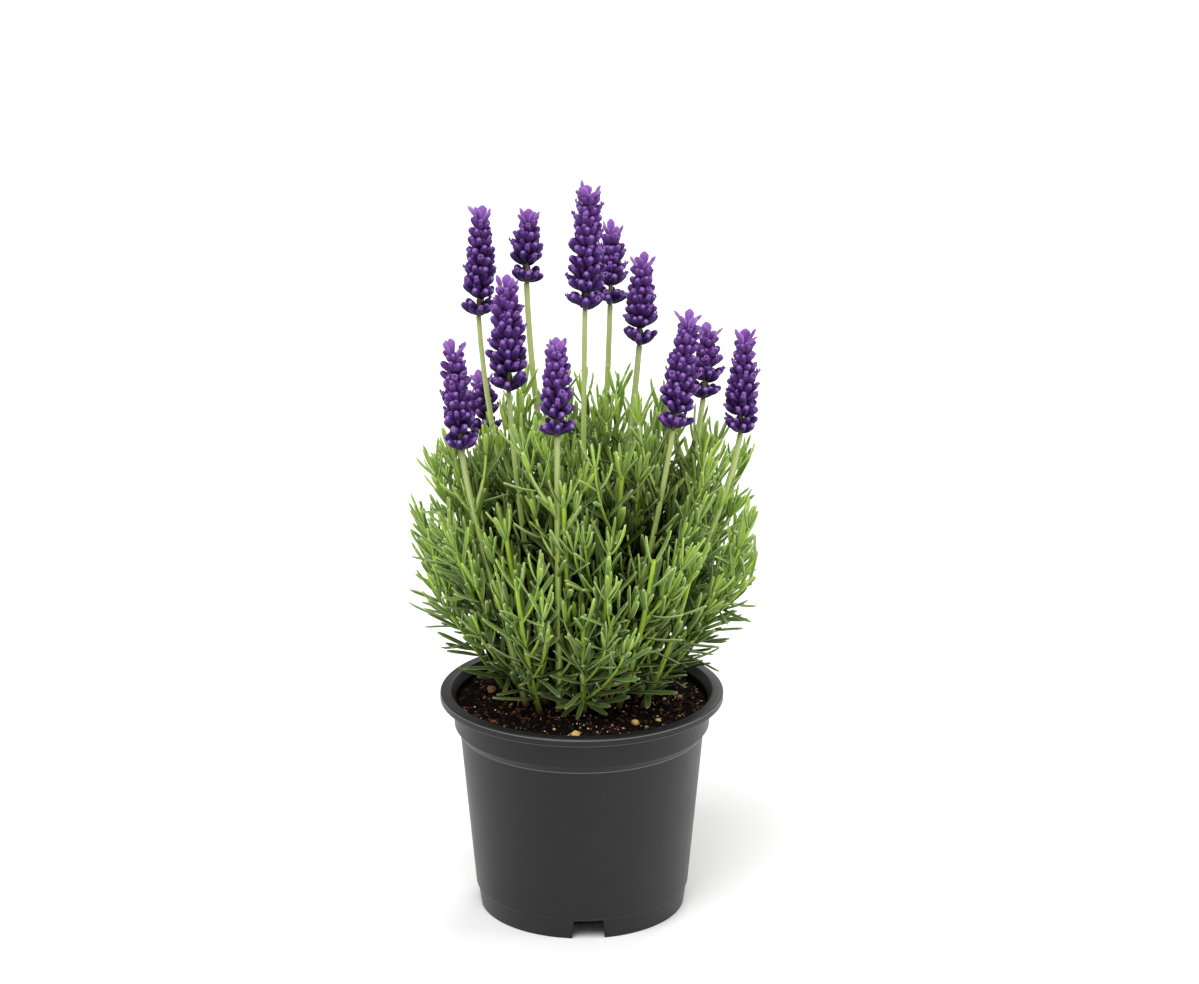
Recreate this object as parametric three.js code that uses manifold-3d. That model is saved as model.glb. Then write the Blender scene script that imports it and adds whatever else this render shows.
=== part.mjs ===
// A potted lavender: a round nursery pot filled with soil, in which flowering stems and leafy shoots stand.
// Millimetres, +Z up. The origin is on the pot's axis, in the plane that its foot stands on.
import * as THREE from "three";
import { mergeVertices } from "three/addons/utils/BufferGeometryUtils.js";
import Module from "manifold-3d";

const wasm = await Module();
wasm.setup();

// Pot
const potHeight = 120;
const potFacets = 30;
const lipRadius = 75;
const lipInnerRadius = 69.2;
const lipDrop = 4.2;
const lipPlate = 1.8;
const lipChamfer = 0.8;
const collarRadius = 68.2;
const collarFootRadius = 67.6;
const collarFootBelowTop = 18.5;
const shoulderHeight = 4;
const bodyTopRadius = 64.6;
const bodyFootRadius = 56.8;
const footBandHeight = 11.2;
const footBandRadius = 56.2;
const footRadius = 54.6;
const bandStepHeight = 0.6;
const wallThickness = 1.6;
const floorUnderside = 6;
const floorThickness = 2.2;
const innerShoulderRise = 0.5;
const notchCount = 4;
const notchTopWidth = 15;
const notchFootWidth = 17.5;
const notchHeight = 10.5;
const notchInnerRadius = 47;
const notchOuterRadius = 60;
const firstNotchAngle = -86.3;

// Soil
const soilGap = 0.35;
const soilEdgeBelowTop = 7.5;
const soilCrown = 5.6;
const soilGridCells = 8;
// The soil's top is made lumpy by two crossed waves, with their pitch per millimetre along X and Y
const broadLump = { height: 0.5, pitchX: 0.21, pitchY: 0.19, start: 0.8 };
const fineLump = { height: 0.35, pitchX: 0.37, pitchY: -0.29 };
const stemHoleDepth = 12;
const stemHoleClearance = 0.35;
const stemHoleSides = 4;

// Stems and shoots. Shoots lean out from the crown's centre, less so to the front and back than to the
// sides, and those at the front (-Y) are shorter
const crownRadius = 42;
const crownCentre = [0, 7];
const goldenAngle = 137.508;
const shootCount = 32;
const stemSides = 4;
const stemCornerTurn = 45;
const twistBetweenStems = 47;
const stemFootRadius = 1.5;
const flowerStemTipRadius = 1.25;
const shootTipRadius = 1.15;
const stemStraight = 3;
const shootLongest = 160;
const shootShortest = 88;
const shootLengthSpread = [0.92, 1.07];
const shootLeanMost = 34;
const shootLeanAtFoot = 1.25;
const shootLeanAtTip = 0.6;
const shootLeanSpread = 3;
const azimuthSpread = 8;
const depthLeanLoss = 0.5;
const frontLengthLoss = 0.2;
const shootShrinks = [1, 0.88, 0.76];
const shootTurns = [0, 7, -7, 14, -14, 21, -21, 30, -30];
const straighteningUnderHead = 0.4;
const flowerStemSteps = 5;
const shootSteps = 3;
// The short sprig at the front: where it leaves the soil, and its end
const sprig = { x: 1, y: -29, end: [1, -46, 171], leanAtFoot: 46 };

// Leaves
const leafLength = 29;
const leafHalfWidth = 1.6;
const leafThickness = 1.5;
const leafRootHalfWidth = 0.55;
const leafMiddle = 0.55;
const leafPairSpacing = 26;
const fewestPairs = 3;
const turnBetweenPairs = 140;
const lowestPair = 0.09;
const highestPair = 0.97;
const leafyHeightOfFlowerStem = 112;
const flowerStemLeafTilts = [58, 34];
const shootLeafTilts = [68, 28];
const leafTiltEasing = 0.8;
const tipLeafLoss = 0.3;
const tipLeafLossOnset = 4;
const leafLengthSpread = [0.88, 1.08];
const leafCurlSpread = [-4, 16];
const leafShrinks = [1, 0.8];
const leafTiltChanges = [0, -12, 12];
const leafTurnChanges = [0, 15, -15, 30, -30, 42, -42];
const foliageSideReach = 91;
const foliageDepthReach = 75;

// Room between pieces. Leaves stay above a cone that widens upwards from the edge of the crown
const beadGap = 0.4;
const stemBeadSpacing = 3;
const leafBeadSpacing = 2.8;
const headBeadSpacing = 4;
const lowestHeadBead = 5;
const stemBeadSteps = 12;
const leafAboveSoil = 0.6;
const coneFootRadius = 40;
const coneRise = 0.6;

// Flower heads
const headGap = 0.3;
const coreRadius = 4.4;
const coreLowWhorlShare = 0.75;
const coreWaistShare = 0.45;
const coreTipShare = 0.7;
const coreTaperStart = 0.7;
const coreSides = 5;
const floretLength = 10.8;
const floretHalfWidth = 2.8;
const floretThickness = 4.8;
const floretRootHalfWidth = 1;
const floretRoot = 1.2;
const floretWidestAt = 0.72;
const floretsInWhorl = 5;
const whorlSpacing = 10;
const lowestWhorl = 3;
const secondWhorl = 12;
const topWhorlBelowCore = 2;
const coreBelowTop = 6;
const floretTilts = [62, 50];
const topFloretTilt = 32;
const topWhorlFlorets = 3;
const topFloretLoss = 0.16;
const turnBetweenWhorls = 36;
const turnBetweenHeads = 17;
const headReach = 10.8;

// Each flowering stem: where it leaves the soil, where its head starts and ends.
const flowers = [
  { root: [-27, -12], foot: [-61, -28, 260], top: [-65, -29, 319] },
  { root: [-20, -8], foot: [-37, -14, 287], top: [-38, -14, 348] },
  { root: [-8, -26], foot: [-12, -48, 273], top: [-12, -49, 326] },
  { root: [-3, -3], foot: [2, -6, 328], top: [4, -6, 395] },
  { root: [10, 6], foot: [30, 14, 304], top: [32, 15, 353] },
  { root: [15, -14], foot: [47, -22, 269], top: [55, -24, 332] },
  { root: [34, -8], foot: [82, -8, 263], top: [84, -8, 319] },
  { root: [-20, 16], foot: [-54, 40, 313], top: [-52, 42, 372] },
  { root: [-8, 24], foot: [-29, 52, 328], top: [-28, 53, 368] },
  { root: [28, 18], foot: [64, 36, 269], top: [67, 38, 310] },
  { root: [-30, 26], foot: [-52, 59, 242], top: [-54, 62, 278] },
  { root: [8, 30], foot: [15, 60, 314], top: [16, 62, 359] },
];

const degrees = Math.PI / 180;
const flatTolerance = 0.01;
const mergeTolerance = 1e-4;
// From the flat side of a three-sided blank of radius 1 to its keel
const blankDepth = 1.5;
// Where the draws for each kind of spread start, and how far apart those of two stems' leaves are
const drawStarts = { lean: 50, length: 100, leaf: 300, curl: 7 };
const drawsPerStem = 61;
const up = new THREE.Vector3(0, 0, 1);
const sideways = new THREE.Vector3(1, 0, 0);

// A repeatable draw between 0 and 1 for each whole number
function draw(key) {
  const value = Math.sin(key * 12.9898 + 4.1414) * 43758.5453;
  return value - Math.floor(value);
}

function drawBetween(key, low, high) {
  return low + (high - low) * draw(key);
}

// Solids

function weld(geometry) {
  const bare = geometry.clone();
  bare.deleteAttribute("normal");
  bare.deleteAttribute("uv");
  const merged = mergeVertices(bare, mergeTolerance);
  const corners = merged.index.array;
  const kept = [];
  for (let i = 0; i < corners.length; i += 3) {
    const [a, b, c] = [corners[i], corners[i + 1], corners[i + 2]];
    if (a !== b && b !== c && c !== a) kept.push(a, b, c);
  }
  merged.setIndex(kept);
  return merged;
}

function toSolid(geometry) {
  const welded = weld(geometry);
  const mesh = new wasm.Mesh({
    numProp: 3,
    vertProperties: new Float32Array(welded.attributes.position.array),
    triVerts: new Uint32Array(welded.index.array),
  });
  return new wasm.Manifold(mesh);
}

// Flat areas that joins and cuts have split are merged again
function toGeometry(solid) {
  const mesh = solid.asOriginal().simplify(flatTolerance).getMesh();
  const geometry = new THREE.BufferGeometry();
  geometry.setAttribute("position", new THREE.BufferAttribute(mesh.vertProperties, 3));
  geometry.setIndex(new THREE.BufferAttribute(mesh.triVerts, 1));
  return geometry;
}

function join(solids) {
  return solids.reduce((whole, solid) => whole.add(solid));
}

function turned(profile) {
  const points = profile.map(([radius, height]) => new THREE.Vector2(radius, height));
  return new THREE.LatheGeometry(points, potFacets).rotateX(Math.PI / 2);
}

// The section's two directions across a stem or blade that runs along `along`
function across(along) {
  const first = new THREE.Vector3().crossVectors(along, sideways).normalize();
  const second = new THREE.Vector3().crossVectors(along, first).normalize();
  return [first, second];
}

// The direction across `along` that is turned by `turn` degrees about it
function turnedAcross(along, turn) {
  const [first, second] = across(along);
  return first.multiplyScalar(Math.cos(turn * degrees)).addScaledVector(second, Math.sin(turn * degrees));
}

// The direction that leans from `along` by `angle` degrees towards `outward`
function leaned(along, outward, angle) {
  return along.clone().multiplyScalar(Math.cos(angle * degrees))
    .addScaledVector(outward, Math.sin(angle * degrees));
}

// Moves the rings of a straight blank onto the points of a spine
function bendBlank(blank, spine, placeRing) {
  const position = blank.attributes.position;
  for (let i = 0; i < position.count; i += 1) {
    const ring = Math.round((position.getY(i) + 0.5) * (spine.length - 1));
    const [x, z] = [position.getX(i), position.getZ(i)];
    const reach = Math.hypot(x, z);
    const unit = reach > 1e-6 ? [x / reach, z / reach] : [0, 0];
    const moved = placeRing(ring, unit);
    position.setXYZ(i, moved.x, moved.y, moved.z);
  }
  return blank;
}

// A tube whose first corner is turned by `twist` degrees about the spine
function tube(spine, sides, radiusAt, twist) {
  const last = spine.length - 1;
  const blank = new THREE.CylinderGeometry(1, 1, 1, sides, last).rotateY(twist * degrees);
  return bendBlank(blank, spine, (ring, [x, z]) => {
    const before = spine[Math.max(ring - 1, 0)];
    const along = spine[Math.min(ring + 1, last)].clone().sub(before).normalize();
    const [first, second] = across(along);
    const radius = radiusAt(ring);
    return spine[ring].clone().addScaledVector(first, z * radius).addScaledVector(second, x * radius);
  });
}

// A three-sided blade with a flat upper side and a keel below, from its root to its tip
function blade({ spine, wide, keel, halfWidths, thickness }) {
  const blank = new THREE.CylinderGeometry(0, 1, 1, 3, spine.length - 1);
  const cornerWidth = Math.sin(120 * degrees);
  return bendBlank(blank, spine, (ring, [x, z]) => {
    const halfWidth = halfWidths[ring];
    const depth = (thickness * halfWidth) / Math.max(...halfWidths) / blankDepth;
    return spine[ring].clone()
      .addScaledVector(wide, (x * halfWidth) / cornerWidth)
      .addScaledVector(keel, z * depth);
  });
}

// Pot

const shoulderTop = potHeight - collarFootBelowTop;
const shoulderFoot = shoulderTop - shoulderHeight;
const floorTop = floorUnderside + floorThickness;
const lipUnderside = potHeight - lipDrop;

function makePot() {
  const shell = toSolid(turned([
    [0, floorUnderside],
    [footRadius - wallThickness, floorUnderside],
    [footRadius - wallThickness, 0],
    [footRadius, 0],
    [footBandRadius, footBandHeight],
    [bodyFootRadius, footBandHeight + bandStepHeight],
    [bodyTopRadius, shoulderFoot],
    [collarFootRadius, shoulderTop],
    [collarRadius, potHeight - lipPlate],
    [lipRadius - wallThickness, potHeight - lipPlate],
    [lipRadius - wallThickness, lipUnderside],
    [lipRadius, lipUnderside],
    [lipRadius, potHeight - lipChamfer],
    [lipRadius - lipChamfer, potHeight],
    [lipInnerRadius, potHeight],
    [collarRadius - wallThickness, lipUnderside],
    [collarFootRadius - wallThickness, shoulderTop + innerShoulderRise],
    [bodyTopRadius - wallThickness, shoulderFoot + innerShoulderRise],
    [footBandRadius - wallThickness, floorTop],
    [0, floorTop],
  ]));
  const outline = new THREE.Shape();
  outline.moveTo(-notchFootWidth / 2, -1);
  outline.lineTo(notchFootWidth / 2, -1);
  outline.lineTo(notchTopWidth / 2, notchHeight);
  outline.lineTo(-notchTopWidth / 2, notchHeight);
  const depth = notchOuterRadius - notchInnerRadius;
  let pot = shell;
  for (let notch = 0; notch < notchCount; notch += 1) {
    const angle = (firstNotchAngle + (notch * 360) / notchCount) * degrees;
    const outward = new THREE.Vector3(Math.cos(angle), Math.sin(angle), 0);
    const along = new THREE.Vector3().crossVectors(up, outward);
    const place = new THREE.Matrix4().makeBasis(along, up, outward);
    place.setPosition(outward.clone().multiplyScalar(notchInnerRadius));
    const cutter = new THREE.ExtrudeGeometry(outline, { depth, bevelEnabled: false }).applyMatrix4(place);
    pot = pot.subtract(toSolid(cutter));
  }
  return pot;
}

// Soil

const soilRadius = collarRadius - wallThickness - soilGap;
const soilEdge = potHeight - soilEdgeBelowTop;

// The height of the soil's lumpy, mounded top
function soilHeight(x, y) {
  const radius = Math.hypot(x, y);
  const mound = soilCrown * (1 - (radius / soilRadius) ** 2);
  const alongX = Math.sin(broadLump.pitchX * x + broadLump.start);
  const broad = broadLump.height * alongX * Math.cos(broadLump.pitchY * y);
  const fine = fineLump.height * Math.sin(fineLump.pitchX * x + fineLump.pitchY * y);
  return soilEdge + mound + broad + fine;
}

function makeSoil(stems) {
  const block = turned([
    [0, floorTop + soilGap],
    [footBandRadius - wallThickness - soilGap, floorTop + soilGap],
    [bodyTopRadius - wallThickness - soilGap, shoulderFoot + innerShoulderRise],
    [collarFootRadius - wallThickness - soilGap, shoulderTop + innerShoulderRise],
    [soilRadius, potHeight + soilCrown],
    [0, potHeight + soilCrown],
  ]);
  const width = 2 * lipRadius;
  const mound = new THREE.BoxGeometry(width, width, potHeight, soilGridCells, soilGridCells, 1);
  mound.translate(0, 0, potHeight / 2);
  const position = mound.attributes.position;
  for (let i = 0; i < position.count; i += 1) {
    const [x, y] = [position.getX(i), position.getY(i)];
    if (position.getZ(i) > soilEdge) position.setZ(i, soilHeight(x, y));
  }
  let soil = toSolid(block).intersect(toSolid(mound));
  const holeRadius = (stemFootRadius + stemHoleClearance) / Math.cos(Math.PI / stemHoleSides);
  for (const { ground, leaving } of stems) {
    const bottom = ground.clone().addScaledVector(leaving, -stemHoleDepth - stemHoleClearance);
    const mouth = ground.clone().addScaledVector(leaving, stemHoleDepth);
    soil = soil.subtract(toSolid(tube([bottom, mouth], stemHoleSides, () => holeRadius, 0)));
  }
  return soil;
}

// Where things are: round beads strung along every stem, leaf and head keep the pieces clear of each other

const beads = [];

function beadsAlong(points, radius, spacing, owner, isStem = false) {
  const strung = [];
  for (let i = 1; i < points.length; i += 1) {
    const steps = Math.max(1, Math.ceil(points[i].distanceTo(points[i - 1]) / spacing));
    for (let step = i === 1 ? 0 : 1; step <= steps; step += 1) {
      const at = points[i - 1].clone().lerp(points[i], step / steps);
      strung.push({ at, radius, owner, isStem, order: strung.length });
    }
  }
  return strung;
}

function isClear(strung) {
  return strung.every(({ at, radius, owner }, i) => beads.every((other) => {
    if (other.owner === owner && (other.isStem || other.order < 2 || i < 2)) return true;
    const least = radius + other.radius + beadGap;
    return at.distanceToSquared(other.at) > least * least;
  }));
}

// Above the soil and the cone, and within the foliage's reach
function isInOpenAir({ at, radius }) {
  const beyondCrown = Math.max(0, Math.hypot(at.x, at.y) - coneFootRadius);
  const lowest = soilHeight(at.x, at.y) + leafAboveSoil + coneRise * beyondCrown;
  const withinReach = Math.abs(at.x) < foliageSideReach && Math.abs(at.y) < foliageDepthReach;
  return at.z - radius > lowest && withinReach;
}

// Stems

function towards(lean, azimuth) {
  const sideReach = Math.sin(lean * degrees);
  return new THREE.Vector3(
    sideReach * Math.cos(azimuth * degrees),
    sideReach * Math.sin(azimuth * degrees),
    Math.cos(lean * degrees),
  );
}

function makeStem({ owner, x, y, leaving, arriving, end, steps, tipRadius, leafyHeight, leafTilts }) {
  const ground = new THREE.Vector3(x, y, soilHeight(x, y));
  const start = ground.clone().addScaledVector(leaving, stemStraight);
  const length = start.distanceTo(end);
  const curve = new THREE.CubicBezierCurve3(
    start,
    start.clone().addScaledVector(leaving, length / 3),
    end.clone().addScaledVector(arriving, -length / 3),
    end,
  );
  const buried = ground.clone().addScaledVector(leaving, -stemHoleDepth);
  const spine = [buried, ...curve.getPoints(steps)];
  const beadSpine = [ground, ...curve.getPoints(stemBeadSteps)];
  const strung = beadsAlong(beadSpine, stemFootRadius, stemBeadSpacing, owner, true);
  const leafyPart = Math.min(1, leafyHeight / length);
  return { owner, ground, leaving, curve, spine, strung, length, tipRadius, leafyPart, leafTilts };
}

// The places where stems leave the soil, spread like the seeds of a sunflower
const places = [];
const placeCount = flowers.length + shootCount;
for (let i = 0; i < placeCount; i += 1) {
  const radius = crownRadius * Math.sqrt((i + 0.5) / placeCount);
  const azimuth = i * goldenAngle;
  const x = crownCentre[0] + radius * Math.cos(azimuth * degrees);
  const y = crownCentre[1] + radius * Math.sin(azimuth * degrees);
  places.push({ outwardness: radius / crownRadius, azimuth, x, y, taken: false });
}

function nearestFreePlace([x, y]) {
  const free = places.filter((place) => !place.taken);
  free.sort((a, b) => Math.hypot(a.x - x, a.y - y) - Math.hypot(b.x - x, b.y - y));
  free[0].taken = true;
  return free[0];
}

const flowerStems = flowers.map((flower, i) => {
  const place = nearestFreePlace(flower.root);
  const foot = new THREE.Vector3(...flower.foot);
  const top = new THREE.Vector3(...flower.top);
  const axis = top.clone().sub(foot).normalize();
  const end = foot.clone().addScaledVector(axis, -headGap);
  const straight = end.clone().sub(new THREE.Vector3(place.x, place.y, soilEdge + soilCrown)).normalize();
  const stem = makeStem({
    owner: i,
    x: place.x,
    y: place.y,
    leaving: straight,
    arriving: axis.clone().lerp(straight, straighteningUnderHead).normalize(),
    end,
    steps: flowerStemSteps,
    tipRadius: flowerStemTipRadius,
    leafyHeight: leafyHeightOfFlowerStem,
    leafTilts: flowerStemLeafTilts,
  });
  const headStart = foot.clone().addScaledVector(axis, lowestHeadBead);
  const aroundHead = beadsAlong([headStart, top], headReach, headBeadSpacing, i, true);
  beads.push(...stem.strung, ...aroundHead);
  return { ...stem, foot, top, axis };
});

const shootLook = {
  steps: shootSteps,
  tipRadius: shootTipRadius,
  leafyHeight: Infinity,
  leafTilts: shootLeafTilts,
};

function makeSprig() {
  const { x, y, leanAtFoot } = sprig;
  const end = new THREE.Vector3(...sprig.end);
  const leaving = towards(leanAtFoot, -90);
  const stem = makeStem({ owner: placeCount, x, y, leaving, arriving: up, end, ...shootLook });
  beads.push(...stem.strung);
  return stem;
}

const shootTries = [];
for (const shrink of shootShrinks) {
  for (const turn of shootTurns) shootTries.push({ shrink, turn });
}

const shoots = [makeSprig()];
places.filter((place) => !place.taken).forEach(({ x, y, outwardness, azimuth }, i) => {
  const owner = flowers.length + i;
  const depth = Math.sin(azimuth * degrees) * outwardness;
  const heading = azimuth + drawBetween(owner, -azimuthSpread, azimuthSpread);
  const ownLean = drawBetween(owner + drawStarts.lean, -shootLeanSpread, shootLeanSpread);
  const lean = (shootLeanMost * outwardness + ownLean) * (1 - depthLeanLoss * Math.abs(depth));
  const drop = (shootLongest - shootShortest) * outwardness ** 2;
  const frontLoss = frontLengthLoss * Math.max(0, -depth);
  const ownLength = drawBetween(owner + drawStarts.length, ...shootLengthSpread) * (1 - frontLoss);
  const fullLength = (shootLongest - drop) * ownLength;
  for (const { shrink, turn } of shootTries) {
    const leaving = towards(lean * shootLeanAtFoot, heading + turn);
    const arriving = towards(lean * shootLeanAtTip, heading + turn);
    const way = leaving.clone().add(arriving).multiplyScalar(0.5 * fullLength * shrink);
    const end = new THREE.Vector3(x, y, soilHeight(x, y)).add(way);
    const stem = makeStem({ owner, x, y, leaving, arriving, end, ...shootLook });
    if (isClear(stem.strung)) {
      beads.push(...stem.strung);
      shoots.push(stem);
      return;
    }
  }
});

// Leaves, in opposite pairs, each pair turned from the one below

const leafTries = [];
for (const shrink of leafShrinks) {
  for (const tilt of leafTiltChanges) {
    for (const turn of leafTurnChanges) leafTries.push({ shrink, tilt, turn });
  }
}

function leafSpine(stem, height, { turn, tilt, length, curl }) {
  const root = stem.curve.getPoint(height);
  const along = stem.curve.getTangent(height);
  const outward = turnedAcross(along, turn);
  const middle = root.clone().addScaledVector(leaned(along, outward, tilt), length * leafMiddle);
  const tipAim = leaned(along, outward, tilt - curl);
  const tip = middle.clone().addScaledVector(tipAim, length * (1 - leafMiddle));
  const wide = new THREE.Vector3().crossVectors(along, outward).normalize();
  const keel = new THREE.Vector3().crossVectors(wide, leaned(along, outward, tilt)).normalize();
  return { spine: [root, middle, tip], wide, keel };
}

function growLeaf(stem, height, leaf) {
  for (const attempt of leafTries) {
    const grown = leafSpine(stem, height, {
      turn: leaf.turn + attempt.turn,
      tilt: leaf.tilt + attempt.tilt,
      length: leaf.length * attempt.shrink,
      curl: leaf.curl,
    });
    const strung = beadsAlong(grown.spine, leafHalfWidth, leafBeadSpacing, stem.owner);
    if (strung.every(isInOpenAir) && isClear(strung)) {
      beads.push(...strung);
      return grown;
    }
  }
  return null;
}

function growLeaves(stem) {
  const pairs = Math.max(fewestPairs, Math.round((stem.length * stem.leafyPart) / leafPairSpacing));
  const [lowestTilt, highestTilt] = stem.leafTilts;
  const leaves = [];
  for (let pair = 0; pair < pairs; pair += 1) {
    const rise = pair / (pairs - 1);
    const height = (lowestPair + (highestPair - lowestPair) * rise) * stem.leafyPart;
    const tipLoss = tipLeafLoss * rise ** tipLeafLossOnset;
    for (let half = 0; half < 2; half += 1) {
      const key = stem.owner * drawsPerStem + pair * 2 + half + drawStarts.leaf;
      leaves.push(growLeaf(stem, height, {
        turn: stem.owner * twistBetweenStems + pair * turnBetweenPairs + half * 180,
        tilt: lowestTilt + (highestTilt - lowestTilt) * rise ** leafTiltEasing,
        length: leafLength * drawBetween(key, ...leafLengthSpread) * (1 - tipLoss),
        curl: drawBetween(key + drawStarts.curl, ...leafCurlSpread),
      }));
    }
  }
  return leaves.filter((leaf) => leaf !== null);
}

function makeLeafyStem(stem, leaves) {
  const last = stem.spine.length - 1;
  const radiusAt = (ring) => {
    const rise = Math.max(0, ring - 1) / (last - 1);
    return stemFootRadius + (stem.tipRadius - stemFootRadius) * rise;
  };
  const twist = stem.owner * twistBetweenStems + stemCornerTurn;
  const solids = [toSolid(tube(stem.spine, stemSides, radiusAt, twist))];
  for (const leaf of leaves) {
    const halfWidths = [leafRootHalfWidth, leafHalfWidth, 0];
    solids.push(toSolid(blade({ ...leaf, halfWidths, thickness: leafThickness })));
  }
  return join(solids);
}

// Flower heads: whorls of florets round a slim core, the lowest whorl a little apart

function makeHead({ owner, foot, top, axis }) {
  const length = foot.distanceTo(top);
  const at = (rise) => foot.clone().addScaledVector(axis, rise);
  const coreTop = length - coreBelowTop;
  const core = [
    { rise: 0, radius: flowerStemTipRadius },
    { rise: lowestWhorl, radius: coreRadius * coreLowWhorlShare },
    { rise: (lowestWhorl + secondWhorl) / 2, radius: coreRadius * coreWaistShare },
    { rise: secondWhorl - 1, radius: coreRadius },
    { rise: coreTop * coreTaperStart, radius: coreRadius },
    { rise: coreTop, radius: coreRadius * coreTipShare },
  ];
  const coreSpine = core.map(({ rise }) => at(rise));
  const coreTwist = owner * turnBetweenHeads + turnBetweenWhorls;
  const solids = [toSolid(tube(coreSpine, coreSides, (ring) => core[ring].radius, coreTwist))];
  const upperWhorls = Math.max(2, Math.round((coreTop - secondWhorl) / whorlSpacing));
  const rises = [lowestWhorl];
  for (let i = 0; i <= upperWhorls; i += 1) {
    rises.push(secondWhorl + ((coreTop - topWhorlBelowCore - secondWhorl) * i) / upperWhorls);
  }
  rises.forEach((rise, whorl) => {
    const share = whorl / (rises.length - 1);
    const tilt = share === 1 ? topFloretTilt : floretTilts[0] + (floretTilts[1] - floretTilts[0]) * share;
    const size = 1 - topFloretLoss * share ** 2;
    const count = share === 1 ? topWhorlFlorets : floretsInWhorl;
    for (let i = 0; i < count; i += 1) {
      const turn = (i * 360) / count + whorl * turnBetweenWhorls + owner * turnBetweenHeads;
      const outward = turnedAcross(axis, turn);
      const aim = leaned(axis, outward, tilt);
      const along = [floretRoot, floretLength * floretWidestAt, floretLength];
      const spine = along.map((distance) => at(rise).addScaledVector(aim, distance * size));
      const wide = new THREE.Vector3().crossVectors(axis, outward).normalize();
      const keel = new THREE.Vector3().crossVectors(wide, aim).normalize();
      const halfWidths = [floretRootHalfWidth, floretHalfWidth * size, 0];
      solids.push(toSolid(blade({ spine, wide, keel, halfWidths, thickness: floretThickness })));
    }
  });
  return join(solids);
}

// Finishes

const finishes = {
  pot: new THREE.MeshStandardMaterial({ color: 0x3a3b3d, roughness: 0.5, metalness: 0 }),
  soil: new THREE.MeshStandardMaterial({ color: 0x24160e, roughness: 0.95, metalness: 0 }),
  flowerStem: new THREE.MeshStandardMaterial({ color: 0x8aa85a, roughness: 0.6, metalness: 0 }),
  shoot: new THREE.MeshStandardMaterial({ color: 0x6f9155, roughness: 0.65, metalness: 0 }),
  head: new THREE.MeshStandardMaterial({ color: 0x4b2a8c, roughness: 0.7, metalness: 0 }),
};

const lavender = new THREE.Group();

function addPiece(name, solid, finish) {
  const mesh = new THREE.Mesh(toGeometry(solid), finish);
  mesh.name = name;
  lavender.add(mesh);
}

addPiece("pot", makePot(), finishes.pot);
addPiece("soil", makeSoil([...flowerStems, ...shoots]), finishes.soil);
flowerStems.forEach((stem, i) => {
  addPiece(`flower_stem_${i + 1}`, makeLeafyStem(stem, growLeaves(stem)), finishes.flowerStem);
});
shoots.forEach((stem, i) => {
  addPiece(`leafy_shoot_${i + 1}`, makeLeafyStem(stem, growLeaves(stem)), finishes.shoot);
});
flowerStems.forEach((stem, i) => {
  addPiece(`flower_head_${i + 1}`, makeHead(stem), finishes.head);
});

export default lavender;
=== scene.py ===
import math
import random
from itertools import product

import bmesh
import bpy
import numpy as np
from mathutils import Matrix, Vector, noise


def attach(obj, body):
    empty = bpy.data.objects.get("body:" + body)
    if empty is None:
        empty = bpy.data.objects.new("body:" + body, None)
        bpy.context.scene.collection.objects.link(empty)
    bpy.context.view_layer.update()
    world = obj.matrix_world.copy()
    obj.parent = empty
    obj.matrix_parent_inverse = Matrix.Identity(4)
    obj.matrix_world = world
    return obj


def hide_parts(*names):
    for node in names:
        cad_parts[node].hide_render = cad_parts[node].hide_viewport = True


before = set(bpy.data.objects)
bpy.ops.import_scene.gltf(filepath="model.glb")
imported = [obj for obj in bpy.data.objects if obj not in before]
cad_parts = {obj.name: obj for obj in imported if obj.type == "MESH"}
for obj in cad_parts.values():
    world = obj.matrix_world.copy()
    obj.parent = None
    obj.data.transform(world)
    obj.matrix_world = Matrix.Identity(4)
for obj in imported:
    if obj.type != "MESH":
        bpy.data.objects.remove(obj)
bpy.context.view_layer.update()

# A potted lavender: a nursery pot of peat with flowering stems and leafy shoots standing in it.
# Every shape is modelled in millimetres, Z up, and meshFrom brings it to metres.

metresPerMillimetre = 0.001


# Camera, floor and light. The places of the camera and the lights are in metres

view = {
    "place": (0.00936, -1.7087, 0.7632),
    "downwardTilt": 17.37,
    "lens": 103.3,
    "sensorWidth": 36.0,
}

studio = {
    "floorReach": 30000,
    "floorColour": (0.95, 0.95, 0.95, 1),
    "skyColour": (1.0, 1.0, 1.0, 1),
    "skyStrength": 0.55,
    # Name, kind, place, power, colour, and an area's side or the sun's spread in degrees
    "lights": [
        ("keySun", "SUN", (-0.45, -1.1, 2.2), 2.1, (1.0, 1.0, 1.0), 40),
        ("sideLight", "AREA", (1.6, -0.3, 0.9), 7, (1.0, 1.0, 1.0), 0.8),
        ("backLight", "AREA", (0.5, 1.4, 1.3), 12, (1.0, 1.0, 0.98), 0.9),
    ],
    "aim": (0.0, 0.0, 0.2),
}


def linked(name, data):
    made = bpy.data.objects.new(name, data)
    bpy.context.scene.collection.objects.link(made)
    return made


def placeCamera():
    lens = bpy.data.cameras.new("studioCamera")
    lens.lens = view["lens"]
    lens.sensor_fit = "HORIZONTAL"
    lens.sensor_width = view["sensorWidth"]
    camera = linked("studioCamera", lens)
    camera.location = view["place"]
    camera.rotation_euler = (math.radians(90 - view["downwardTilt"]), 0, 0)
    bpy.context.scene.camera = camera


def placeLight(name, kind, place, power, colour, size):
    light = bpy.data.lights.new(name, kind)
    light.energy = power
    light.color = colour
    if kind == "SUN":
        light.angle = math.radians(size)
    else:
        light.size = size
    lamp = linked(name, light)
    lamp.location = place
    facing = Vector(studio["aim"]) - Vector(place)
    lamp.rotation_euler = facing.to_track_quat("-Z", "Y").to_euler()


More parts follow.
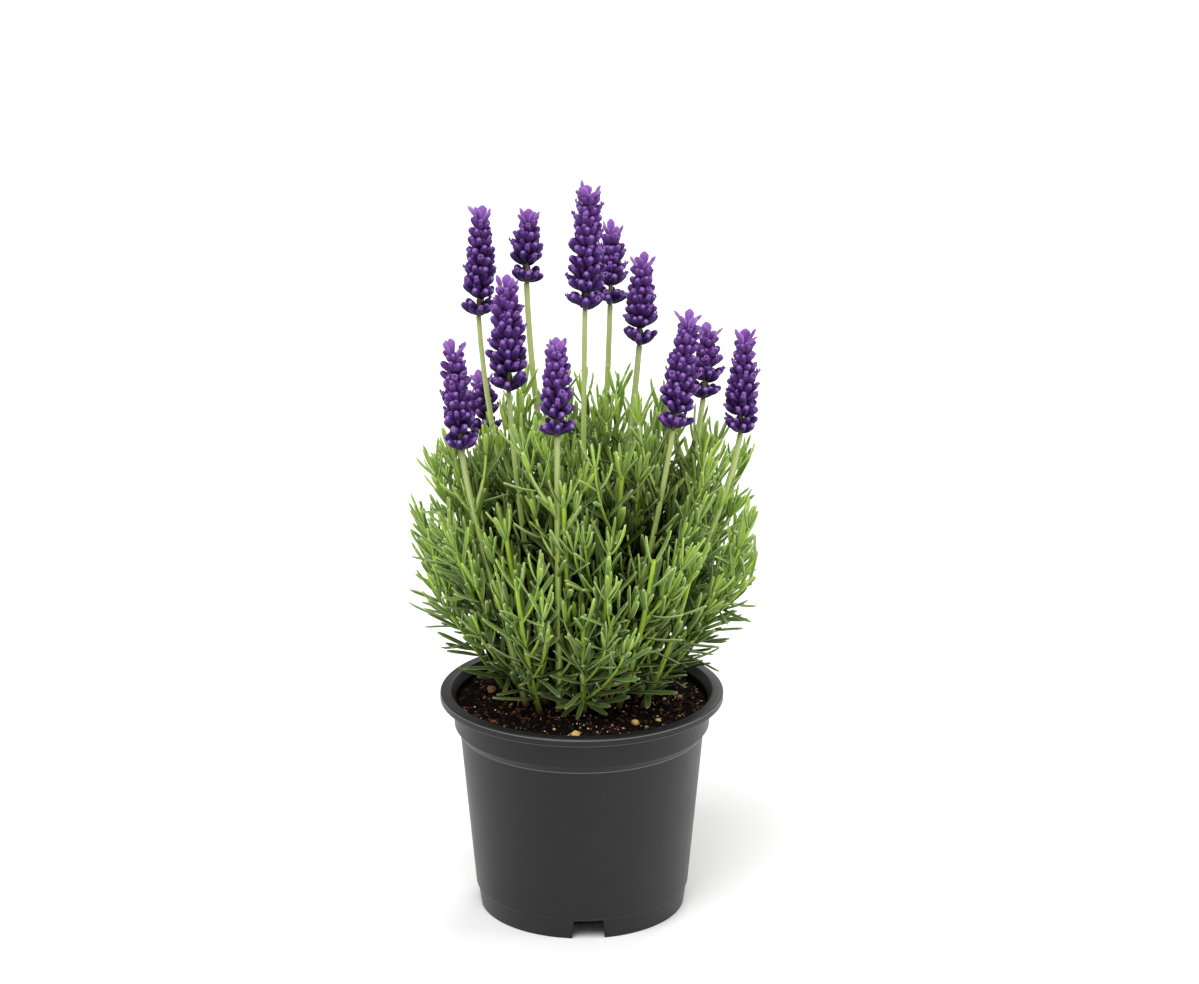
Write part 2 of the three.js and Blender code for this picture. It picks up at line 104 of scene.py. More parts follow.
def buildStudio():
    paper = startFinish("whitePaper", {
        "Base Color": studio["floorColour"], "Roughness": 0.9, "Specular IOR Level": 0.1,
    })
    shape = bmesh.new()
    bmesh.ops.create_grid(shape, x_segments=1, y_segments=1, size=studio["floorReach"])
    floor = linked("studioFloor", meshFrom("studioFloor", shape, [paper]))

    sky = bpy.data.worlds.new("studioSky")
    sky.use_nodes = True
    background = sky.node_tree.nodes["Background"]
    background.inputs["Color"].default_value = studio["skyColour"]
    background.inputs["Strength"].default_value = studio["skyStrength"]
    bpy.context.scene.world = sky
    for light in studio["lights"]:
        placeLight(*light)
    bpy.context.scene.view_settings.view_transform = "Standard"


# Finishes. A colour ramp's stops are pairs of a place and a colour


# Gives each socket a value, or joins another node's output to it
def setSockets(finish, node, sockets):
    for socket, value in sockets.items():
        if isinstance(value, bpy.types.NodeSocket):
            finish.node_tree.links.new(value, node.inputs[socket])
        else:
            node.inputs[socket].default_value = value


def setSurface(finish, sockets):
    setSockets(finish, finish.node_tree.nodes["Principled BSDF"], sockets)
    return finish


def startFinish(name, sockets):
    finish = bpy.data.materials.new(name)
    finish.use_nodes = True
    return setSurface(finish, sockets)


def addNode(finish, kind, sockets, **settings):
    made = finish.node_tree.nodes.new(kind)
    for key, value in settings.items():
        setattr(made, key, value)
    setSockets(finish, made, sockets)
    return made


def speckle(finish, scale, detail=3.0, roughness=0.6, stretch=(1, 1, 1)):
    place = addNode(finish, "ShaderNodeTexCoord", {}).outputs["Object"]
    mapping = addNode(finish, "ShaderNodeMapping", {"Vector": place, "Scale": stretch})
    sockets = {"Vector": mapping.outputs["Vector"], "Scale": scale, "Detail": detail, "Roughness": roughness}
    return addNode(finish, "ShaderNodeTexNoise", sockets).outputs["Fac"]


def readMarks(finish, *names):
    return [addNode(finish, "ShaderNodeAttribute", {}, attribute_name=name).outputs["Fac"] for name in names]


def colourRamp(finish, source, stops):
    ramp = addNode(finish, "ShaderNodeValToRGB", {"Fac": source})
    elements = ramp.color_ramp.elements
    while len(elements) < len(stops):
        elements.new(0.5)
    for element, (place, colour) in zip(elements, stops):
        element.position = place
        element.color = (*colour, 1)
    return ramp.outputs["Color"]


def valueRange(finish, source, low, high, newLow, newHigh):
    sockets = {"Value": source, "From Min": low, "From Max": high, "To Min": newLow, "To Max": newHigh}
    return addNode(finish, "ShaderNodeMapRange", sockets).outputs["Result"]


def combine(finish, operation, first, second):
    return addNode(finish, "ShaderNodeMath", {0: first, 1: second}, operation=operation).outputs["Value"]


# Each colour is three numbers or another node's output
def mixColours(finish, share, *colours):
    first, second = (
        colour if isinstance(colour, bpy.types.NodeSocket) else (*colour, 1) for colour in colours
    )
    return addNode(finish, "ShaderNodeMix", {0: share, 6: first, 7: second}, data_type="RGBA").outputs[2]


# Lays a colour over another by a share that runs from newLow to newHigh as the source rises
def tint(finish, under, source, colour, low, high, newLow, newHigh):
    return mixColours(finish, valueRange(finish, source, low, high, newLow, newHigh), under, colour)


# A piece's own tone, lighter and darker in patches
def mottle(finish, patches):
    tone = readMarks(finish, "tone")[0]
    return combine(finish, "ADD", tone, valueRange(finish, patches, 0.3, 0.7, -0.2, 0.2))


def bump(finish, height, distance):
    sockets = {"Height": height, "Distance": distance, "Strength": 1.0}
    return addNode(finish, "ShaderNodeBump", sockets).outputs["Normal"]


potColours = {
    "plain": [(0.3, (0.0110, 0.0110, 0.0119)), (0.72, (0.0141, 0.0141, 0.0154))],
    # A painted highlight along the rounded lines of lip and shoulder
    "rim": (0.13, 0.13, 0.13),
    # Painted shade inside the pot and on its floor and underside
    "inside": (0.0012, 0.0012, 0.0012),
}


def makePotFinish():
    finish = startFinish("charcoalPlastic", {"Specular IOR Level": 0.29})
    edge, light = readMarks(finish, "edge", "light")
    dust = speckle(finish, 30, 4, 0.5)
    # Painted highlight lines on the marked rounded edges
    outside = mixColours(finish, edge, colourRamp(finish, dust, potColours["plain"]), potColours["rim"])
    return setSurface(finish, {
        # Painted shade where the light mark is 0: the inside, the floor and the underside
        "Base Color": mixColours(finish, light, potColours["inside"], outside),
        "Roughness": valueRange(finish, dust, 0.3, 0.7, 0.38, 0.44),
        "Normal": bump(finish, speckle(finish, 1500, 2, 0.5), 0.00003),
    })


peatColours = [
    (0.3, (0.0012, 0.0006, 0.0004)),
    (0.55, (0.004, 0.0014, 0.0009)),
    (0.72, (0.024, 0.008, 0.0035)),
]


def makePeatFinish():
    finish = startFinish("darkPeat", {"Roughness": 0.95, "Specular IOR Level": 0.12})
    clods = speckle(finish, 160, 6, 0.7)
    fine = speckle(finish, 900, 3, 0.7)
    return setSurface(finish, {
        "Base Color": colourRamp(finish, clods, peatColours),
        "Normal": bump(finish, combine(finish, "ADD", clods, fine), 0.0016),
    })


crumbColours = {
    "darkCrumb": [(0.1, (0.003, 0.0012, 0.0008)), (0.9, (0.045, 0.015, 0.006))],
    "barkChip": [(0.1, (0.07, 0.018, 0.005)), (0.6, (0.30, 0.11, 0.032)), (1.0, (0.75, 0.46, 0.18))],
    "paleGrain": [(0.1, (0.40, 0.24, 0.11)), (0.9, (0.86, 0.76, 0.58))],
    "witheredLeaf": [(0.1, (0.16, 0.055, 0.02)), (0.9, (0.52, 0.29, 0.12))],
    "tanGrain": [(0.1, (0.34, 0.15, 0.045)), (0.9, (0.78, 0.50, 0.20))],
}


def makeCrumbFinish(name):
    finish = startFinish(name, {"Roughness": 0.85, "Specular IOR Level": 0.3})
    grain = speckle(finish, 1100, 3, 0.7)
    return setSurface(finish, {
        "Base Color": colourRamp(finish, mottle(finish, grain), crumbColours[name]),
        "Normal": bump(finish, grain, 0.0004),
    })


# The colours of the foot, of the faces and edges of the square stem, and towards the top
stemColours = {
    "flowerStemGreen": [(0.15, 0.08, 0.03), (0.46, 0.64, 0.08), (0.76, 0.88, 0.38), (0.40, 0.45, 0.20)],
    "shootGreen": [(0.15, 0.08, 0.03), (0.34, 0.54, 0.035), (0.58, 0.78, 0.14), (0.40, 0.60, 0.05)],
    "rachisOlive": [(0.14, 0.12, 0.05), (0.15, 0.15, 0.05), (0.34, 0.32, 0.16), (0.14, 0.12, 0.05)],
}
grainGreen = (0.10, 0.18, 0.02)
# Painted shade for stems in the plant's middle and near the soil
shadeGreen = (0.010, 0.022, 0.002)
woodyUpTo = [(0.08, (1, 1, 1)), (0.14, (0.6, 0.6, 0.6)), (0.2, (0, 0, 0))]


def makeStemFinish(name, darkness):
    foot, face, corner, top = stemColours[name]
    finish = startFinish(name, {"Roughness": 0.5, "Specular IOR Level": 0.3})
    edge, rise, light = readMarks(finish, "edge", "rise", "light")
    grain = speckle(finish, 500, 4, 0.6, (1, 1, 0.15))
    green = tint(finish, face, edge, corner, 0.45, 0.95, 0.0, 1.0)
    green = tint(finish, green, grain, grainGreen, 0.35, 0.75, 0.0, 0.15)
    green = tint(finish, green, rise, top, 0.5, 0.95, 0.0, 0.8)
    green = mixColours(finish, colourRamp(finish, rise, woodyUpTo), green, foot)
    return setSurface(finish, {
        # Painted shade by the light mark, up to the share darkness
        "Base Color": tint(finish, green, light, shadeGreen, 0.0, 1.0, darkness, 0.0),
        "Normal": bump(finish, grain, 0.0003),
    })


leafColours = {
    # From the old leaves low down to the young ones
    "blade": [
        (0.0, (0.080, 0.140, 0.042)),
        (0.35, (0.145, 0.242, 0.056)),
        (0.7, (0.235, 0.385, 0.056)),
        (1.0, (0.410, 0.615, 0.056)),
    ],
    "silver": (0.63, 0.78, 0.37),
    "vein": (0.38, 0.56, 0.10),
    # Painted shade for the leaves in the plant's middle and near the soil
    "shade": (0.0035, 0.012, 0.0002),
}


def makeLeafFinish():
    finish = startFinish("lavenderLeaf", {"Roughness": 0.62})
    rise, edge, light = readMarks(finish, "rise", "edge", "light")
    green = colourRamp(finish, mottle(finish, speckle(finish, 90)), leafColours["blade"])
    rim = valueRange(finish, edge, 0.5, 1.0, 0.0, 0.6)
    tip = valueRange(finish, rise, 0.9, 1.0, 0.0, 0.65)
    green = mixColours(finish, combine(finish, "MAXIMUM", rim, tip), green, leafColours["silver"])
    green = tint(finish, green, edge, leafColours["vein"], 0.0, 0.22, 0.3, 0.0)
    return setSurface(finish, {
        # Painted shade by the light mark, with the reflections turned down there too
        "Base Color": tint(finish, green, light, leafColours["shade"], 0.0, 1.0, 0.93, 0.0),
        "Specular IOR Level": valueRange(finish, light, 0.0, 1.0, 0.0, 0.16),
        "Normal": bump(finish, speckle(finish, 2200, 2), 0.00012),
    })


# Bands run from foot to mouth. A tint is a colour, the marks it runs between, and its shares there
violetFinishes = {
    "calyxViolet": {
        "surface": {"Roughness": 0.55, "Specular IOR Level": 0.16},
        "bands": [
            (0.0, (0.100, 0.110, 0.060)),
            # Dark violet, deepened into painted shade low down where the calyces crowd together
            (0.12, (0.014, 0.006, 0.030)),
            (0.42, (0.010, 0.002, 0.042)),
            (0.62, (0.055, 0.014, 0.165)),
            # A painted highlight near a calyx's tip
            (0.80, (0.400, 0.230, 0.570)),
            # Painted shade inside an open calyx's mouth
            (0.92, (0.050, 0.012, 0.110)),
            (1.0, (0.020, 0.004, 0.045)),
        ],
        "edgeTint": ((0.20, 0.10, 0.34), 0.3, 1.0, 0.0, 0.22),
        "toneTint": ((0.26, 0.085, 0.42), 0.0, 1.0, 0.0, 0.42),
        "grainScale": 1800,
        "grainDepth": 0.0002,
    },
    "petalViolet": {
        "surface": {"Roughness": 0.5, "Specular IOR Level": 0.25, "Sheen Weight": 0.15},
        "bands": [(0.0, (0.04, 0.007, 0.10)), (0.45, (0.18, 0.042, 0.34)), (1.0, (0.34, 0.13, 0.53))],
        "edgeTint": ((0.60, 0.38, 0.75), 0.6, 1.0, 0.0, 0.45),
        "toneTint": ((0.12, 0.03, 0.26), 0.0, 1.0, 0.5, 0.0),
        "grainScale": 1500,
        "grainDepth": 0.0001,
    },
}


def makeVioletFinish(name):
    look = violetFinishes[name]
    finish = startFinish(name, look["surface"])
    tone, rise, edge = readMarks(finish, "tone", "rise", "edge")
    violet = tint(finish, colourRamp(finish, rise, look["bands"]), edge, *look["edgeTint"])
    return setSurface(finish, {
        "Base Color": tint(finish, violet, tone, *look["toneTint"]),
        "Normal": bump(finish, speckle(finish, look["grainScale"], 2), look["grainDepth"]),
    })


# Shapes


def newShape():
    shape = bmesh.new()
    for name in ("rise", "edge", "tone", "light"):
        shape.verts.layers.float.new(name)
    return shape


def mark(shape, vert, **values):
    for name, value in values.items():
        vert[shape.verts.layers.float[name]] = value


def vertsIn(parts):
    return [part for part in parts if isinstance(part, bmesh.types.BMVert)]


def facesAt(verts):
    return {face for vert in verts for face in vert.link_faces}


# A pattern is a small shape that is copied and bent, and removed at the end
def pattern(shape, make, *sizes):
    known = set(shape.verts)
    make(shape, *sizes)
    fresh = [vert for vert in shape.verts if vert not in known]
    edges = {edge for vert in fresh for edge in vert.link_edges}
    return [*fresh, *edges, *facesAt(fresh)]


def copyPattern(shape, made):
    return vertsIn(bmesh.ops.duplicate(shape, geom=made)["geom"])


def dropPattern(shape, made):
    bmesh.ops.delete(shape, geom=vertsIn(made), context="VERTS")


def grainBlank(shape):
    bmesh.ops.create_icosphere(shape, subdivisions=1, radius=1)


# A flat blank: x from -1 to 1 across, y from 0 to 1 along, z from -1 at the underside to 0
def bladeBlank(shape, columns, rows, slot=0):
    grid = bmesh.ops.create_grid(shape, x_segments=columns, y_segments=rows, size=0.5)["verts"]
    faces = facesAt(grid)
    thickened = bmesh.ops.solidify(shape, geom=list(faces), thickness=1)["geom"]
    verts = list({vert for face in faces for vert in face.verts} | set(vertsIn(thickened)))
    bmesh.ops.translate(shape, vec=(0, 0.5, 0), verts=verts)
    bmesh.ops.scale(shape, vec=(2, 1, 1), verts=verts)
    for face in facesAt(verts):
        face.material_index = slot


def connectedTo(vert):
    found, waiting = {vert}, [vert]
    while waiting:
        here = waiting.pop()
        for edge in here.link_edges:
            other = edge.other_vert(here)
            if other not in found:
                found.add(other)
                waiting.append(other)
    return list(found)


# A round blank: a unit circle, z from 0 to 1
def tubeBlank(shape, sides, rings, slot=0):
    ends = bmesh.ops.create_cone(
        shape, cap_ends=True, cap_tris=False, segments=sides, radius1=1, radius2=1, depth=1,
    )["verts"]
    uprights = {
        edge for vert in ends for edge in vert.link_edges
        if abs(edge.verts[0].co.z - edge.verts[1].co.z) > 0.5
    }
    split = bmesh.ops.subdivide_edges(shape, edges=list(uprights), cuts=rings - 2)["geom_inner"]
    verts = connectedTo(vertsIn(split)[0])
    bmesh.ops.translate(shape, vec=(0, 0, 0.5), verts=verts)
    for face in facesAt(verts):
        face.material_index = slot
    return verts


def across(along):
    first = along.cross(Vector((1, 0, 0))).normalized()
    return first, along.cross(first).normalized()


# The direction at an angle, in radians, from one direction towards another that is square to it
def turned(first, second, angle):
    return first * math.cos(angle) + second * math.sin(angle)


# Bends a round blank along a spine. radiusAt takes the ring and the corner's angle
def growTube(shape, spine, radiusAt, sides, turn=0.0, tone=0.5, slot=0):
    last = len(spine) - 1
    frames = []
    for ring, point in enumerate(spine):
        along = (spine[min(ring + 1, last)] - spine[max(ring - 1, 0)]).normalized()
        frames.append((point, *across(along)))
    verts = tubeBlank(shape, sides, len(spine), slot)
    for vert in verts:
        ring = round(vert.co.z * last)
        angle = math.atan2(vert.co.y, vert.co.x)
        point, first, second = frames[ring]
        vert.co = point + turned(first, second, angle + math.radians(turn)) * radiusAt(ring, angle)
        ridge = 0.5 + 0.5 * math.cos(4 * angle)
        mark(shape, vert, rise=ring / last, edge=ridge, tone=tone, light=openness(*vert.co))
    return verts


def leafWidth(rise):
    opening = 0.42 + 0.58 * min(1, rise / 0.35) ** 0.8
    taper = math.sqrt(max(0.16, 1 - max(0, (rise - 0.72) / 0.31) ** 2.4))
    return opening * taper


def petalWidth(rise):
    opening = 0.3 + 0.7 * min(1, rise / 0.75) ** 1.6
    taper = math.sqrt(max(0.07, 1 - max(0, (rise - 0.7) / 0.3) ** 2))
    return opening * taper


leafBlade = {"widthAt": leafWidth, "thickness": 0.7, "channel": 0.4, "middleShare": 0.55}
witheredBlade = {"widthAt": leafWidth, "thickness": 0.5, "channel": 0.7, "middleShare": 0.5}
petalBlade = {"widthAt": petalWidth, "thickness": 0.45, "channel": 0.7, "middleShare": 0.5}


# Bends a copy of a flat blank into a leaf or petal through its root, middle and tip
def addBlade(shape, made, blade, points, wide, halfWidth, twist, tone):
    root, middle, tip = (Vector(point) for point in points)
    wide, share = Vector(wide), blade["middleShare"]
    knee = (middle - root * (1 - share) ** 2 - tip * share**2) / (2 * share * (1 - share))
    frames = {}
    for vert in copyPattern(shape, made):
        x, rise, under = vert.co.x, round(vert.co.y, 3), -vert.co.z
        if rise not in frames:
            point = root * (1 - rise) ** 2 + knee * (2 * rise * (1 - rise)) + tip * rise**2
            aim = ((knee - root) * (1 - rise) + (tip - knee) * rise).normalized()
            level = (wide - aim * aim.dot(wide)).normalized()
            level.rotate(Matrix.Rotation(math.radians(twist * rise), 3, aim))
            frames[rise] = (point, level, level.cross(aim).normalized())
        point, level, keel = frames[rise]
        width = blade["widthAt"](rise)
        dip = blade["channel"] * (1 - x * x) * width
        belly = under * blade["thickness"] * (0.35 + 0.65 * (1 - x * x)) * min(1, 0.3 + width)
        vert.co = point + level * (x * width * halfWidth) + keel * (dip + belly)
        mark(shape, vert, rise=rise, edge=abs(x), tone=tone, light=openness(*vert.co))


def meshFrom(name, shape, finishes=(), isSmooth=False):
    bmesh.ops.scale(shape, vec=(metresPerMillimetre,) * 3, verts=shape.verts)
    for face in shape.faces:
        face.smooth = isSmooth
    mesh = bpy.data.meshes.new(name)
    shape.to_mesh(mesh)
    shape.free()
    for finish in finishes:
        mesh.materials.append(finish)
    return mesh


def finishPiece(name, shape, finishes, nodes=(), isSmooth=True):
    piece = linked(name, meshFrom(name, shape, finishes, isSmooth))
    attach(piece, "root")
    if nodes:
        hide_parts(*nodes)
    return piece


# Pot

pot = {
    "height": 120,
    "segments": 144,
    "lipRadius": 75,
    "lipInnerRadius": 69.2,
    "lipDrop": 4.2,
    "lipPlate": 1.8,
    "lipChamfer": 0.8,
    "collarRadius": 68.2,
    "collarFootRadius": 67.6,
    "collarFootBelowTop": 18.5,
    "shoulderHeight": 4,
    "shoulderThickening": 0.5,
    "bodyTopRadius": 64.6,
    "bodyFootRadius": 56.8,
    "footBandHeight": 11.2,
    "footBandRadius": 56.2,
    "footRadius": 54.6,
    "bandStepHeight": 0.6,
    "wall": 1.6,
    "floorUnderside": 6,
    "floorThickness": 2.2,
    "notchCount": 4,
    "notchTopWidth": 15,
    "notchFootWidth": 17.5,
    "notchHeight": 10.5,
    "notchInnerRadius": 47,
    "notchOuterRadius": 60,
    "firstNotchAngle": -86.3,
    "edgeRound": 0.35,
    "roundFromAngle": 20,
    "sharpFromAngle": 12,
}
shoulderTop = pot["height"] - pot["collarFootBelowTop"]
shoulderFoot = shoulderTop - pot["shoulderHeight"]
innerShoulderTop = shoulderTop + pot["shoulderThickening"]
innerShoulderFoot = shoulderFoot + pot["shoulderThickening"]
potFloorTop = pot["floorUnderside"] + pot["floorThickness"]
lipUnderside = pot["height"] - pot["lipDrop"]


def spinProfile(shape, profile, segments):
    verts = [shape.verts.new((radius, 0, height)) for radius, height in profile]
    edges = [shape.edges.new(pair) for pair in zip(verts, verts[1:])]
    bmesh.ops.spin(
        shape, geom=[*verts, *edges], cent=(0, 0, 0), axis=(0, 0, 1), dvec=(0, 0, 0),
        angle=math.tau, steps=segments, use_merge=True, use_duplicate=False,
    )
    bmesh.ops.remove_doubles(shape, verts=shape.verts, dist=1e-4)
    bmesh.ops.recalc_face_normals(shape, faces=shape.faces)


# Rounds the turned edges and gives the faces of the rounding
def roundEdges(shape):
    rims = [
        edge for edge in shape.edges
        if len(edge.link_faces) == 2
        and edge.calc_face_angle() > math.radians(pot["roundFromAngle"])
        and abs(edge.verts[0].co.z - edge.verts[1].co.z) < 1e-3
    ]
    return set(bmesh.ops.bevel(
        shape, geom=rims, offset=pot["edgeRound"], segments=4, profile=0.5, affect="EDGES", material=-1,
    )["faces"])


# Marks the painted highlight lines of lip and shoulder, and lays painted shade on the inside and the
# underside
def markPot(shape, rounded):
    shape.normal_update()
    for vert in shape.verts:
        radius, height = math.hypot(vert.co.x, vert.co.y), vert.co.z
        isInside = vert.normal.x * vert.co.x + vert.normal.y * vert.co.y < -0.3 * radius
        isFloor = radius < pot["footRadius"] - pot["wall"] + 0.1
        isLine = radius > pot["lipRadius"] - 0.6 or abs(height - shoulderFoot) < 1
        isRim = isLine and all(near in rounded for near in vert.link_faces)
        mark(shape, vert, edge=1 if isRim else 0, light=0 if isInside or isFloor else 1)


def makeNotchCutters():
    cutters = bmesh.new()
    depth = pot["notchOuterRadius"] - pot["notchInnerRadius"]
    for notch in range(pot["notchCount"]):
        cube = bmesh.ops.create_cube(cutters, size=1)["verts"]
        for vert in cube:
            width = pot["notchTopWidth"] if vert.co.z > 0 else pot["notchFootWidth"]
            height = pot["notchHeight"] if vert.co.z > 0 else -1
            vert.co = Vector((pot["notchInnerRadius"] + (vert.co.x + 0.5) * depth, vert.co.y * width, height))
        angle = math.radians(pot["firstNotchAngle"] + notch * 360 / pot["notchCount"])
        bmesh.ops.rotate(cutters, cent=(0, 0, 0), matrix=Matrix.Rotation(angle, 3, "Z"), verts=cube)
    return linked("notchCutters", meshFrom("notchCutters", cutters))


def buildPot(plastic):
    wall = pot["wall"]
    shape = newShape()
    spinProfile(shape, [
        (0, pot["floorUnderside"]),
        (pot["footRadius"] - wall, pot["floorUnderside"]),
        (pot["footRadius"] - wall, 0),
        (pot["footRadius"], 0),
        (pot["footBandRadius"], pot["footBandHeight"]),
        (pot["bodyFootRadius"], pot["footBandHeight"] + pot["bandStepHeight"]),
        (pot["bodyTopRadius"], shoulderFoot),
        (pot["collarFootRadius"], shoulderTop),
        (pot["collarRadius"], pot["height"] - pot["lipPlate"]),
        (pot["lipRadius"] - wall, pot["height"] - pot["lipPlate"]),
        (pot["lipRadius"] - wall, lipUnderside),
        (pot["lipRadius"], lipUnderside),
        (pot["lipRadius"], pot["height"] - pot["lipChamfer"]),
        (pot["lipRadius"] - pot["lipChamfer"], pot["height"]),
        (pot["lipInnerRadius"], pot["height"]),
        (pot["collarRadius"] - wall, lipUnderside),
        (pot["collarFootRadius"] - wall, innerShoulderTop),
        (pot["bodyTopRadius"] - wall, innerShoulderFoot),
        (pot["footBandRadius"] - wall, potFloorTop),
        (0, potFloorTop),
    ], pot["segments"])
    markPot(shape, roundEdges(shape))
    cutters = makeNotchCutters()
    piece = finishPiece("nurseryPot", shape, [plastic], ["pot"])
    cut = piece.modifiers.new("notches", "BOOLEAN")
    cut.operation = "DIFFERENCE"
    cut.solver = "EXACT"
    cut.object = cutters
    bpy.context.view_layer.update()
    shaped = piece.evaluated_get(bpy.context.evaluated_depsgraph_get())
    carved = bpy.data.meshes.new_from_object(shaped)
    piece.modifiers.clear()
    piece.data = carved
    carved.set_sharp_from_angle(angle=math.radians(pot["sharpFromAngle"]))
    bpy.data.objects.remove(cutters)


# Soil

soil = {
    "gap": 0.35,
    "edgeBelowTop": 7.5,
    "crown": 5.6,
    "broadLump": 0.5,
    "fineLump": 0.35,
    "rings": 60,
    "segments": 200,
    "clodSize": 5.0,
    "clodHeight": 1.5,
    "crumbSize": 1.7,
    "crumbHeight": 0.6,
}
soilRadius = pot["collarRadius"] - pot["wall"] - soil["gap"]
soilEdge = pot["height"] - soil["edgeBelowTop"]


# The height of the mound, the same rule as the solid's
def soilHeight(x, y):
    radius = math.hypot(x, y)
    mound = soil["crown"] * (1 - (radius / soilRadius) ** 2)
    broad = soil["broadLump"] * math.sin(0.21 * x + 0.8) * math.cos(0.19 * y)
    fine = soil["fineLump"] * math.sin(0.37 * x - 0.29 * y)
    return soilEdge + mound + broad + fine


def peatHeight(x, y):
    clod = noise.noise(Vector((x, y, 7)) / soil["clodSize"])
    crumb = noise.noise(Vector((x, y, 3)) / soil["crumbSize"])
    return soilHeight(x, y) + soil["clodHeight"] * clod + soil["crumbHeight"] * crumb


def buildSoil(peat):
    inset = pot["wall"] + soil["gap"]
    shape = newShape()
    rings = soil["rings"]
    spinProfile(shape, [
        (0, potFloorTop + soil["gap"]),
        (pot["footBandRadius"] - inset, potFloorTop + soil["gap"]),
        (pot["bodyTopRadius"] - inset, innerShoulderFoot),
        (pot["collarFootRadius"] - inset, innerShoulderTop),
        *((soilRadius * (1 - ring / rings), soilEdge) for ring in range(rings + 1)),
    ], soil["segments"])
    for vert in shape.verts:
        if vert.co.z > soilEdge - 0.01:
            vert.co.z = peatHeight(vert.co.x, vert.co.y)
    finishPiece("potSoil", shape, [peat], ["soil"])


# Loose bits on the soil

litter = {
    "seed": 11,
    "reach": 64.5,
    # Pieces of grains: finish, how many, least and greatest size, and height against width
    "grains": {
        "peatCrumbs": ("darkCrumb", 900, (0.5, 1.6), 0.7),
        "barkChips": ("barkChip", 380, (0.4, 1.5), 0.45),
        "paleGrains": ("paleGrain", 230, (0.22, 0.75), 0.8),
        "tanGrains": ("tanGrain", 0, (1, 1), 0.6),
    },
    # The few large tan grains: across, back, and their size
    "largeGrains": [
        (-3, -53, 2.9), (28, -40, 2.7), (40, -36, 2.0), (16, -44, 1.3), (52, 2, 1.8), (-48, 10, 3.2),
    ],
    # Dry stubs that stand in the peat: where, how long, how they lean, and how thick
    "stubs": [
        (-34, -1, 13, 24, 200, 0.8),
        (-31, -2, 10, 16, 300, 0.6),
        (12, -19, 24, 10, 80, 0.7),
        (32, 2, 12, 18, 250, 0.7),
        (-16, -12, 12, 20, 120, 0.7),
    ],
    "stubDepth": 3,
    # Withered leaves beside the small sprig: root, middle and tip
    "withered": [
        ((13, -31, 120), (17, -34, 131), (23, -36, 136)),
        ((14, -30, 121), (13, -35, 132), (16, -38, 142)),
        ((11, -29, 119), (9, -32, 126), (12, -36, 130)),
    ],
    "witheredHalfWidth": 1.1,
    "fibres": 70,
    "fibreLengths": (4, 9),
    "fibreRadius": 0.16,
}


def scatterPlace(chance):
    radius = litter["reach"] * math.sqrt(chance.random())
    angle = chance.uniform(0, math.tau)
    return radius * math.cos(angle), radius * math.sin(angle)


def setGrain(shape, made, x, y, size, squash, chance):
    stretch = [size * chance.uniform(0.7, 1.3), size * chance.uniform(0.5, 1.0), size * squash]
    turning = Matrix.Rotation(chance.uniform(0, math.tau), 3, "Z")
    turning @= Matrix.Rotation(chance.uniform(-0.6, 0.6), 3, "X")
    centre = Vector((x, y, peatHeight(x, y) + size * squash * 0.35))
    tone = chance.random()
    for vert in copyPattern(shape, made):
        vert.co = centre + turning @ Vector([vert.co[axis] * stretch[axis] for axis in range(3)])
        mark(shape, vert, tone=tone)


def buildGrains(name, finishes, chance):
    finish, count, sizes, squash = litter["grains"][name]
    shape = newShape()
    made = pattern(shape, grainBlank)
    for _ in range(count):
        size = chance.uniform(sizes[0] ** 0.5, sizes[1] ** 0.5) ** 2
        setGrain(shape, made, *scatterPlace(chance), size, squash, chance)
    for x, y, size in litter["largeGrains"] if name == "tanGrains" else ():
        setGrain(shape, made, x, y, size, squash, chance)
    dropPattern(shape, made)
    finishPiece(name, shape, [finishes[finish]], isSmooth=False)


def buildStubs(bark, chance):
    shape = newShape()
    depth = litter["stubDepth"]
    for x, y, length, lean, azimuth, radius in litter["stubs"]:
        base = Vector((x, y, peatHeight(x, y) - depth))
        aim = Vector(towards(lean, azimuth))
        spine = [base + aim * (length + depth) * step / 3 for step in range(4)]
        tone = chance.uniform(0.1, 0.5)
        growTube(shape, spine, lambda ring, angle: radius * (1 - 0.2 * ring), 6, tone=tone)
    finishPiece("dryStubs", shape, [bark])


def buildWitheredLeaves(finish, chance):
    shape = newShape()
    made = pattern(shape, bladeBlank, 2, 7)
    for points in litter["withered"]:
        twist, tone = chance.uniform(40, 120), chance.uniform(0.3, 0.9)
        halfWidth = litter["witheredHalfWidth"]
        addBlade(shape, made, witheredBlade, points, (1, 0.3, -0.4), halfWidth, twist, tone)
    dropPattern(shape, made)
    finishPiece("witheredLeaves", shape, [finish])


def buildFibres(bark, chance):
    shape = newShape()
    for _ in range(litter["fibres"]):
        x, y = scatterPlace(chance)
        heading = chance.uniform(0, math.tau)
        bend = chance.uniform(-0.5, 0.5)
        length = chance.uniform(*litter["fibreLengths"])
        spine = []
        for step in range(5):
            spine.append(Vector((x, y, peatHeight(x, y) + 0.4)))
            x += math.cos(heading) * length / 4
            y += math.sin(heading) * length / 4
            heading += bend
        if max(math.hypot(point.x, point.y) for point in spine) < litter["reach"]:
            growTube(shape, spine, lambda ring, angle: litter["fibreRadius"], 5, tone=chance.random())
    finishPiece("peatFibres", shape, [bark])


def buildLitter(finishes):
    chance = random.Random(litter["seed"])
    for name in litter["grains"]:
        buildGrains(name, finishes, chance)
    buildStubs(finishes["barkChip"], chance)
    buildWitheredLeaves(finishes["witheredLeaf"], chance)
    buildFibres(finishes["barkChip"], chance)


# Where stems and leaves stand, the same rule as the solids'

